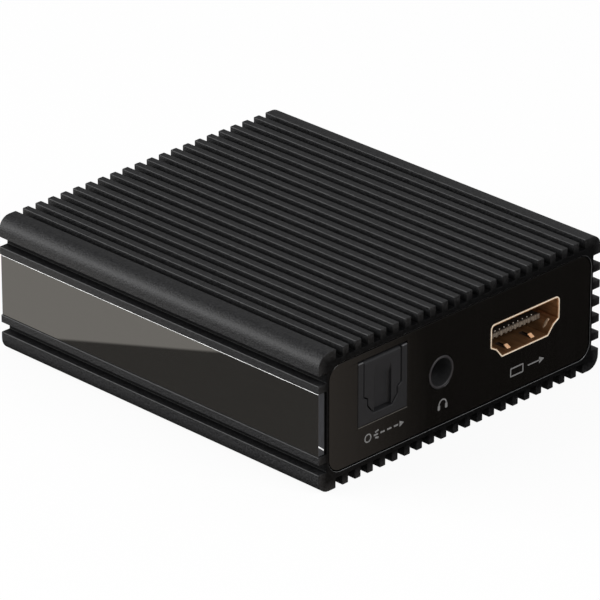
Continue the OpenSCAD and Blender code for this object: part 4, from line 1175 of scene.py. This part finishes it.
floor_top = socket_foot + SHELL_WALL
shoulder_top = socket_foot + VIDEO_CORNERS[2][1]
tongue_z = socket_foot + TONGUE_MIDDLE
gilt, rim_shine, root_shade, dimple_shine = gilded_steel(), rim_highlight_gold(), sunken_shade_gold(), painted_dimple_highlight()
copper, gold, tip_glint = spring_tip_highlight(), contact_gold(), contact_tip_glints()
tongue_black, tongue_brown = tongue_plastic(), lit_tongue_nose()
for end, place, node, label in (("front", video_out_x, "video_out", "output_socket"),
                                ("rear", video_in_x, "video_in", "input_socket")):
    shell = fit(video_shell(end, place, label + "_shell"), gilt, "box", "gold_shell", node + "_shell")
    # Painted shade: the windows' walls and the springs' sunken roots are dark brown.
    second_finish(shell, root_shade, window_walls)
    # Painted highlight: the shell's mouth is pale.
    fit(video_rim(end, place, label + "_rim"), rim_shine, "box", "gold_shell")
    # Painted highlight: the springs' faces are a bright copper colour.
    springs = fit(video_springs(end, place, label + "_springs"), copper, "box", "gold_shell")
    second_finish(springs, root_shade, sunken_sheet)
    # Painted highlight: the dimples are pale grey-brown.
    fit(video_dimples(end, place, label + "_dimples"), dimple_shine, "box", "gold_shell")
    fit(video_legs(end, place, label + "_legs"), gilt, "box", "gold_shell")
    fit(video_tongue(end, place, label + "_tongue"), tongue_black, "box", "socket_black", node + "_tongue")
    # Painted light: the tongue's nose is much lighter than the tongue.
    fit(video_nose(end, place, label + "_nose"), tongue_brown, "box", "socket_black")
    fit(video_contacts(end, place, label + "_contacts"), gold, "box", "contact_gold", node + "_contacts")
    # Painted glints: pale beads at the contacts' tips.
    fit(video_beads(end, place, label + "_beads"), tip_glint, "box", "contact_gold")

# Printed symbols
# Grey ink, pad printed on the gloss panels: a lamp with its beam, headphones, a screen with an arrow, and
# three dots for the places of the mode switch. The places in a symbol count from its own middle.
INK_THICKNESS = 0.02
PEN = 0.22
BEAM_PEN = 0.28
SYMBOL_HEIGHT = 5.65
LAMP_X = -16.4
LAMP_RING = (-3.4, 0.72)
BEAM_RAYS = np.array([(-1.9, 0.42), (-1.2, 0.62)])
BEAM_DASHES = (-2.2, -0.8, 0.6, 2.0)
BEAM_DASH = 0.9
BEAM_HEAD = np.array([(3.2, -0.5), (4.1, 0), (3.2, 0.5)])
HEADPHONES_X = -4.1
BAND_RADIUS = 0.78
EAR_PAD = (0.5, 0.85)
EAR_PAD_DROP = 0.38
EAR_PAD_RADIUS = 0.18
SCREEN_X = 14.2
SCREEN_MIDDLE = -2.3
SCREEN_SIZE = np.array([2.9, 1.5])
SCREEN_RADII = (0.2, 0.08)
ARROW_SHAFT = (0.1, 2.7)
ARROW_HEAD = np.array([(2.6, -0.55), (3.7, 0), (2.6, 0.55)])
MODE_DOT = 0.16
MODE_DOT_DROP = 1.8
MODE_STEP = 2.0


def pad_print_ink():
    """Grey silicone ink laid on in a film of a few hundredths: matt, a little uneven in its cover."""
    return grained("pad_print_ink", "#717070", "#7e7d7c", grain=0.3, roughness=(0.5, 0.7))


def pen_line(points, pen=PEN):
    """Outline of a drawn line: its points moved half a pen to one side, then back along the other. The
    line's direction at a point is that from the point before it to the one after."""
    points = np.array(points, float)
    run = np.gradient(points, axis=0)
    run /= np.linalg.norm(run, axis=1, keepdims=True)
    aside = np.stack([-run[:, 1], run[:, 0]], axis=1) * pen / 2
    return np.concatenate([points - aside, (points + aside)[::-1]])


def arc(middle, radius, first, last, steps=24):
    """Points of an arc between two angles in degrees."""
    angle = np.radians(np.linspace(first, last, steps))
    return np.array(middle) + radius * np.stack([np.cos(angle), np.sin(angle)], axis=1)


def printed(name, end, outlines, holes=()):
    """Film of ink inside each outline. A hole, given as (outline, hole), is left unprinted."""
    face = from_end(end, PANEL_FACE)
    film = from_end(end, PANEL_FACE - INK_THICKNESS)
    sleeves = [carried(outline, film, face) for outline in outlines]
    sleeves += [carried(hole, film, face, hole=True) for _, hole in holes]
    owner = {len(outlines) + k: of for k, (of, _) in enumerate(holes)}
    caps = [[(k, row), *[(h, row) for h, of in owner.items() if of == k]]
            for k in range(len(outlines)) for row in (0, -1)]
    return build(name, sleeves, caps)


def lamp_symbol():
    """A ring, two slanted rays beside it, and a beam of four dashes with an arrowhead at its end."""
    x, z = middle = np.array([LAMP_X, SYMBOL_HEIGHT])
    lamp, radius = (x + LAMP_RING[0], z), LAMP_RING[1]
    dashes = [pen_line([(x + start, z), (x + start + BEAM_DASH, z)], BEAM_PEN) for start in BEAM_DASHES]
    rays = [pen_line(middle + BEAM_RAYS * [1, side], BEAM_PEN) for side in (-1, 1)]
    outlines = [circle(lamp, radius, steps=40), *dashes, *rays, middle + BEAM_HEAD]
    return outlines, [(0, circle(lamp, radius - PEN, steps=40))]


def headphone_symbol():
    """A half ring with an upright pad at each end."""
    x, z = HEADPHONES_X, SYMBOL_HEIGHT
    band = pen_line(arc((x, z), BAND_RADIUS, 0, 180))
    pads = [rounded(rectangle((x + side * BAND_RADIUS, z - EAR_PAD_DROP), *EAR_PAD), EAR_PAD_RADIUS, steps=5)
            for side in (-1, 1)]
    return [band, *pads], []


def screen_symbol():
    """A screen outline and an arrow that leaves it."""
    x, z = SCREEN_X, SYMBOL_HEIGHT
    screen, inside = [
        rounded(rectangle((x + SCREEN_MIDDLE, z), *(SCREEN_SIZE - less)), radius)
        for less, radius in zip((0, 2 * PEN), SCREEN_RADII)]
    shaft = pen_line([(x + along, z) for along in ARROW_SHAFT])
    return [screen, shaft, ARROW_HEAD + [x, z]], [(0, inside)]


ink = pad_print_ink()
for name, (outlines, holes) in {"lamp_print": lamp_symbol(), "headphones_print": headphone_symbol(),
                                "screen_print": screen_symbol()}.items():
    fit(printed(name, "front", outlines, holes), ink, "box", "gloss_panel")
dots_z = board_top + MODE_AXIS - MODE_DOT_DROP
mode_dots = [circle((mode_x + x, dots_z), MODE_DOT, steps=20) for x in spaced(3, MODE_STEP)]
fit(printed("mode_dots_print", "rear", mode_dots), ink, "box", "gloss_panel")

# Power inlet
# A black moulding, soldered to the board, whose round nose comes through the panel. A nickel-plated pin
# stands in the middle of its bore.
POWER_BORE = 3.15
POWER_DEPTH = 9.5
POWER_EDGE = 0.15
POWER_CORNER = 0.3
POWER_BLOCK_EDGES = (0.1, 0.2)
PIN_START = 1.2
PIN_TIP = 0.6
PIN_RADIUS = 1.0
PIN_TAPER = 0.5


def nickel_plate():
    """Bright nickel on a turned pin: pale metal with rings left by the tool, 0.1 mm apart."""
    return grained("nickel_plate", "#b2b1ac", "#cfcec9", grain=0.1, stretch=(20, 1, 20),
                   roughness=(0.12, 0.22), Metallic=1.0)


def power_moulding():
    """A square block with a round nose, bored from the mouth."""
    face, step = from_end("rear", SOCKET_FACE), from_end("rear", PLATE_BACK)
    outline = rounded(rectangle(power_middle, *(power_high - power_low)[[0, 2]]), POWER_CORNER)
    nose = carried(circle(power_middle, POWER_NOSE), face, step, POWER_EDGE)
    bottom = from_end("rear", POWER_DEPTH)
    bore = carried(circle(power_middle, POWER_BORE), face, bottom, POWER_EDGE, hole=True)
    block = carried(outline, step, power_low[1], *POWER_BLOCK_EDGES)
    return build("power_socket_body", [nose, bore, block],
                 [[(0, 0), (1, 0)], [(1, -1)], [(2, 0), (0, -1)], [(2, -1)]])


def power_pin():
    """A round pin whose tip tapers."""
    steps = [(PIN_START, PIN_TIP), (PIN_START + PIN_TAPER, PIN_RADIUS), (POWER_DEPTH, PIN_RADIUS)]
    return build("power_socket_pin", [turned(power_middle, [(from_end("rear", d), r) for d, r in steps])])


fit(power_moulding(), socket_abs, "box", "socket_black", "power_inlet_body")
fit(power_pin(), nickel_plate(), "box", "pin_steel", "power_inlet_pin")

# Mode switch
# A slide switch: a folded tinned can, soldered to the board, and a moulded lug that comes through the panel
# and slides between three places.
LUG_SIZE = (1.5, 1.4)
LUG_RIDGES = 3
LUG_RIDGE = (0.28, 0.2)
RIDGE_EDGE = 0.08
FOOT_SIZE = (3.0, 2.85)
FOOT_DEPTH = (2.55, 3.95)
FOOT_EDGE = 0.1


def tinned_steel():
    """Tin-plated steel sheet: pale, softly mottled metal."""
    return grained("tinned_steel", "#a9abad", "#c2c4c6", grain=0.5, roughness=(0.25, 0.4), Metallic=1.0)


def switch_lug():
    """A lug with upright ridges on its face, and the foot that holds it in the can."""
    x, z = mode_middle
    half_ridge, half_w, half_h = LUG_RIDGE[0] / 2, LUG_SIZE[0] / 2, LUG_SIZE[1] / 2
    half_foot, half_foot_h = FOOT_SIZE[0] / 2, FOOT_SIZE[1] / 2
    face, ridge_foot = from_end("rear", SOCKET_FACE), from_end("rear", SOCKET_FACE + LUG_RIDGE[1])
    start, stop = [from_end("rear", depth) for depth in FOOT_DEPTH]
    pitch = (LUG_SIZE[0] - LUG_RIDGE[0]) / (LUG_RIDGES - 1)
    ridges = [slab((x + aside - half_ridge, face, z - half_h),
                   (x + aside + half_ridge, ridge_foot - PART_SINK, z + half_h), RIDGE_EDGE)
              for aside in spaced(LUG_RIDGES, pitch)]
    lug_back = from_end("rear", FOOT_DEPTH[0] + FOOT_EDGE)
    lug = slab((x - half_w, ridge_foot, z - half_h), (x + half_w, lug_back, z + half_h))
    foot = slab((x - half_foot, start, z - half_foot_h), (x + half_foot, stop, z + half_foot_h), FOOT_EDGE)
    return build("mode_switch_lug", [*ridges, lug, foot])


fit(switch_lug(), socket_abs, "mode_slider", "collar_plastic", "mode_switch_slider")
coat(tinned_steel(), "mode_switch_can")

# Status light
# A lens cast from milky green epoxy round its light source. A black holder on the board carries it, with the
# domed end just behind the panel's face.
LENS_DOME = 0.5
DOME_START = 0.15


def cast_lens():
    """Diffusing green epoxy: milky, glossy, with cloudy streaks of the diffuser."""
    return grained("cast_lens", "#86c49a", "#a8dcb8", grain=0.6, roughness=(0.12, 0.2), IOR=1.55,
                   Transmission_Weight=0.3)


def light_lens():
    """A round bar with a flattened dome: at an angle it lies D (1 - cos a)^2 deep and R sin a out."""
    low, high = node_box("status_light")
    angle = np.linspace(DOME_START, np.pi / 2, 8)
    dome = zip(high[1] - LENS_DOME * (1 - np.cos(angle)) ** 2, LIGHT_RADIUS * np.sin(angle))
    return build("status_light_lens", [turned(light_middle, [*dome, (low[1], LIGHT_RADIUS)], 32)])


fit(light_lens(), cast_lens(), "box", "light_lens", "status_light")
coat(socket_abs, "light_holder")

# Circuit board and its parts
# A green glass-epoxy board slides in slots in the tube and carries all sockets, chips and coils. The tube
# hides it, so its parts keep the plain shapes of the CAD.


def solder_mask():
    """Green lacquer over woven glass and copper: satin, with the weave's 0.5 mm pattern just showing."""
    return grained("solder_mask", "#0f3a22", "#164a2d", grain=0.5, roughness=(0.3, 0.45), relief=0.01)


def moulded_epoxy():
    """Black epoxy of the chips: matt, finely pitted."""
    return grained("moulded_epoxy", "#161617", "#202021", grain=0.12, roughness=(0.55, 0.7), relief=0.005)


def nickel_can():
    """Drawn nickel-silver can of the crystal: satin, pale."""
    return grained("nickel_can", "#a9a9a8", "#c6c6c4", grain=0.3, roughness=(0.3, 0.42), Metallic=1.0)


def sintered_ferrite():
    """Pressed and fired ferrite: dark grey ceramic with a dry grain."""
    return grained("sintered_ferrite", "#333437", "#434448", grain=0.25, roughness=(0.6, 0.8), relief=0.01)


def capacitor_can():
    """Drawn aluminium can of the storage capacitors: clean, silky metal."""
    return grained("capacitor_can", "#b9babc", "#d0d1d3", grain=0.2, stretch=(1, 1, 10),
                   roughness=(0.25, 0.4), Metallic=1.0)


def fired_ceramic():
    """Tan ceramic of the small capacitors: half matt, finely speckled."""
    return grained("fired_ceramic", "#7d6849", "#97805f", grain=0.1, roughness=(0.4, 0.55))


coat(solder_mask(), "main_board")
coat(moulded_epoxy(), "main_chip", "sound_chip", "memory_chip", "regulators", "surge_arrays")
coat(nickel_can(), "clock_crystal")
coat(sintered_ferrite(), "power_inductor")
coat(capacitor_can(), "storage_capacitors")
coat(fired_ceramic(), "board_passives")

# Floor, lights and surroundings
# A white sweep, a large softbox low behind on the left for the long highlights, a smaller one in front and a
# weak one high on the right. The gloss parts show the floor, which glows for their rays only, in painted dim
# and white areas that set their reflections. Sizes and places are in millimetres, as in all sections but the
# camera's.
FLOOR_SIZE = 4000
FLOOR_WHITE = 0.92
FLOOR_PAINT = "#f4f4f4"
STRIP_SLANT = (-0.8229, 0.5682)
STRIP_AWAY = 49.32
STRIP_SOFTNESS = 0.6
STRIP_REACH = (-56, -38)
STRIP_GLOW = (0.16, 1.0)
ASIDE_GLOW = 0.05
STRIP_TINT = "#fff9ef"
PANEL_REACH = (-27.5, -6)
PANEL_GLOW = (0.34, 0.04)
PANEL_TINT = "#fff0e2"
PLAIN_WHITE = "#ffffff"
LAMP_DISTANCE = 900


def white_floor():
    """Painted board. Seen directly it is white but for the shadow. In reflections it glows, unlit, in
    painted areas: a painted reflection for the gloss parts. Beside the box it is dim up to a slanted line
    and white beyond it: the line has a normal and a distance from the middle. In front it fades along X plus
    Y, the way that an upright line of the gloss panel shows."""
    finish = bpy.data.materials.new("white_floor")
    finish.use_nodes = True
    finish.cycles.emission_sampling = "NONE"
    tree = finish.node_tree
    tree.nodes.clear()
    place = add_node(tree, "ShaderNodeSeparateXYZ", {
        "Vector": add_node(tree, "ShaderNodeTexCoord").outputs["Object"]})
    x, y = place.outputs["X"], place.outputs["Y"]
    share_x = add_node(tree, "ShaderNodeMath", {0: x, 1: STRIP_SLANT[0]}, operation="MULTIPLY")
    beyond = add_node(tree, "ShaderNodeMath", {
        0: y, 1: STRIP_SLANT[1], 2: share_x}, operation="MULTIPLY_ADD")
    beside = add_node(tree, "ShaderNodeMapRange", {
        "Value": beyond, "To Min": STRIP_GLOW[0], "To Max": STRIP_GLOW[1],
        "From Min": (STRIP_AWAY - STRIP_SOFTNESS) * MM, "From Max": (STRIP_AWAY + STRIP_SOFTNESS) * MM},
        interpolation_type="SMOOTHSTEP")
    right_of = add_node(tree, "ShaderNodeMath", {0: x, 1: STRIP_REACH[0] * MM}, operation="GREATER_THAN")
    left_of = add_node(tree, "ShaderNodeMath", {0: x, 1: STRIP_REACH[1] * MM}, operation="LESS_THAN")
    within = add_node(tree, "ShaderNodeMath", {0: right_of, 1: left_of}, operation="MULTIPLY")
    beside_glow = add_node(tree, "ShaderNodeMapRange", {
        "Value": within, "To Min": ASIDE_GLOW, "To Max": beside})
    slanted = add_node(tree, "ShaderNodeMath", {0: x, 1: y}, operation="ADD")
    panel_place = add_node(tree, "ShaderNodeMath", {0: slanted, 1: -front * MM}, operation="ADD")
    before = add_node(tree, "ShaderNodeMapRange", {
        "Value": panel_place, "From Min": PANEL_REACH[0] * MM, "From Max": PANEL_REACH[1] * MM,
        "To Min": PANEL_GLOW[0], "To Max": PANEL_GLOW[1]})
    in_front = add_node(tree, "ShaderNodeMath", {0: y, 1: front * MM}, operation="LESS_THAN")
    paths = add_node(tree, "ShaderNodeLightPath")
    paint = add_node(tree, "ShaderNodeBsdfDiffuse", {"Color": colour(FLOOR_PAINT)})
    white_glow = add_node(tree, "ShaderNodeEmission", {"Color": colour(PLAIN_WHITE), "Strength": 1.0})
    strip_glow = add_node(tree, "ShaderNodeEmission", {"Color": colour(STRIP_TINT), "Strength": beside_glow})
    panel_glow = add_node(tree, "ShaderNodeEmission", {"Color": colour(PANEL_TINT), "Strength": before})
    reflected = add_node(tree, "ShaderNodeMixShader", {"Fac": in_front, 1: strip_glow, 2: panel_glow})
    seen = add_node(tree, "ShaderNodeMath", {
        0: paths.outputs["Is Camera Ray"], 1: paths.outputs["Is Transmission Ray"]}, operation="MAXIMUM")
    whitening = add_node(tree, "ShaderNodeMath", {0: seen, 1: FLOOR_WHITE}, operation="MULTIPLY")
    whitened = add_node(tree, "ShaderNodeMixShader", {"Fac": whitening, 1: paint, 2: white_glow})
    shown = add_node(tree, "ShaderNodeMixShader", {
        "Fac": paths.outputs["Is Glossy Ray"], 1: whitened, 2: reflected})
    add_node(tree, "ShaderNodeOutputMaterial", {"Surface": shown})
    return finish


def light_room(strength):
    """Even light from all round, which is plain white where the camera or a clear part looks at it."""
    room = bpy.data.worlds.new("studio")
    room.use_nodes = True
    room.cycles.sampling_method = "NONE"
    tree = room.node_tree
    tree.nodes.clear()
    paths = add_node(tree, "ShaderNodeLightPath")
    seen = add_node(tree, "ShaderNodeMath", {
        0: paths.outputs["Is Camera Ray"], 1: paths.outputs["Is Transmission Ray"]}, operation="MAXIMUM")
    even = add_node(tree, "ShaderNodeBackground", {"Color": colour(PLAIN_WHITE), "Strength": strength})
    white = add_node(tree, "ShaderNodeBackground", {"Color": colour(PLAIN_WHITE), "Strength": 1.0})
    shown = add_node(tree, "ShaderNodeMixShader", {"Fac": seen, 1: even, 2: white})
    add_node(tree, "ShaderNodeOutputWorld", {"Surface": shown})
    bpy.context.scene.world = room


def softbox(name, direction, size, power):
    """Square lamp that stands in a direction from the middle of the box and is turned to it."""
    lamp = bpy.data.lights.new(name, "AREA")
    lamp.size = size * MM
    lamp.energy = power
    holder = bpy.data.objects.new(name, lamp)
    outwards = Vector(direction).normalized()
    holder.location = outwards * (LAMP_DISTANCE * MM) + Vector((0, 0, mid_height * MM))
    holder.rotation_euler = outwards.to_track_quat("Z", "Y").to_euler()
    bpy.context.scene.collection.objects.link(holder)


floor_mesh = bpy.data.meshes.new("floor")
floor_corners = rectangle((0, 0), FLOOR_SIZE, FLOOR_SIZE) * MM
floor_mesh.from_pydata([(x, y, 0) for x, y in floor_corners], [], [(0, 1, 2, 3)])
floor_piece = bpy.data.objects.new("floor", floor_mesh)
floor_piece.data.materials.append(white_floor())
bpy.context.scene.collection.objects.link(floor_piece)
softbox("key_softbox", (-0.73, 0.62, 0.3), size=860, power=14.0)
softbox("front_softbox", (0.1, -0.8, 0.6), size=500, power=4.3)
softbox("top_softbox", (1.1, 0.1, 0.9), size=700, power=1.2)
light_room(strength=0.25)
bpy.context.scene.view_settings.view_transform = "Standard"
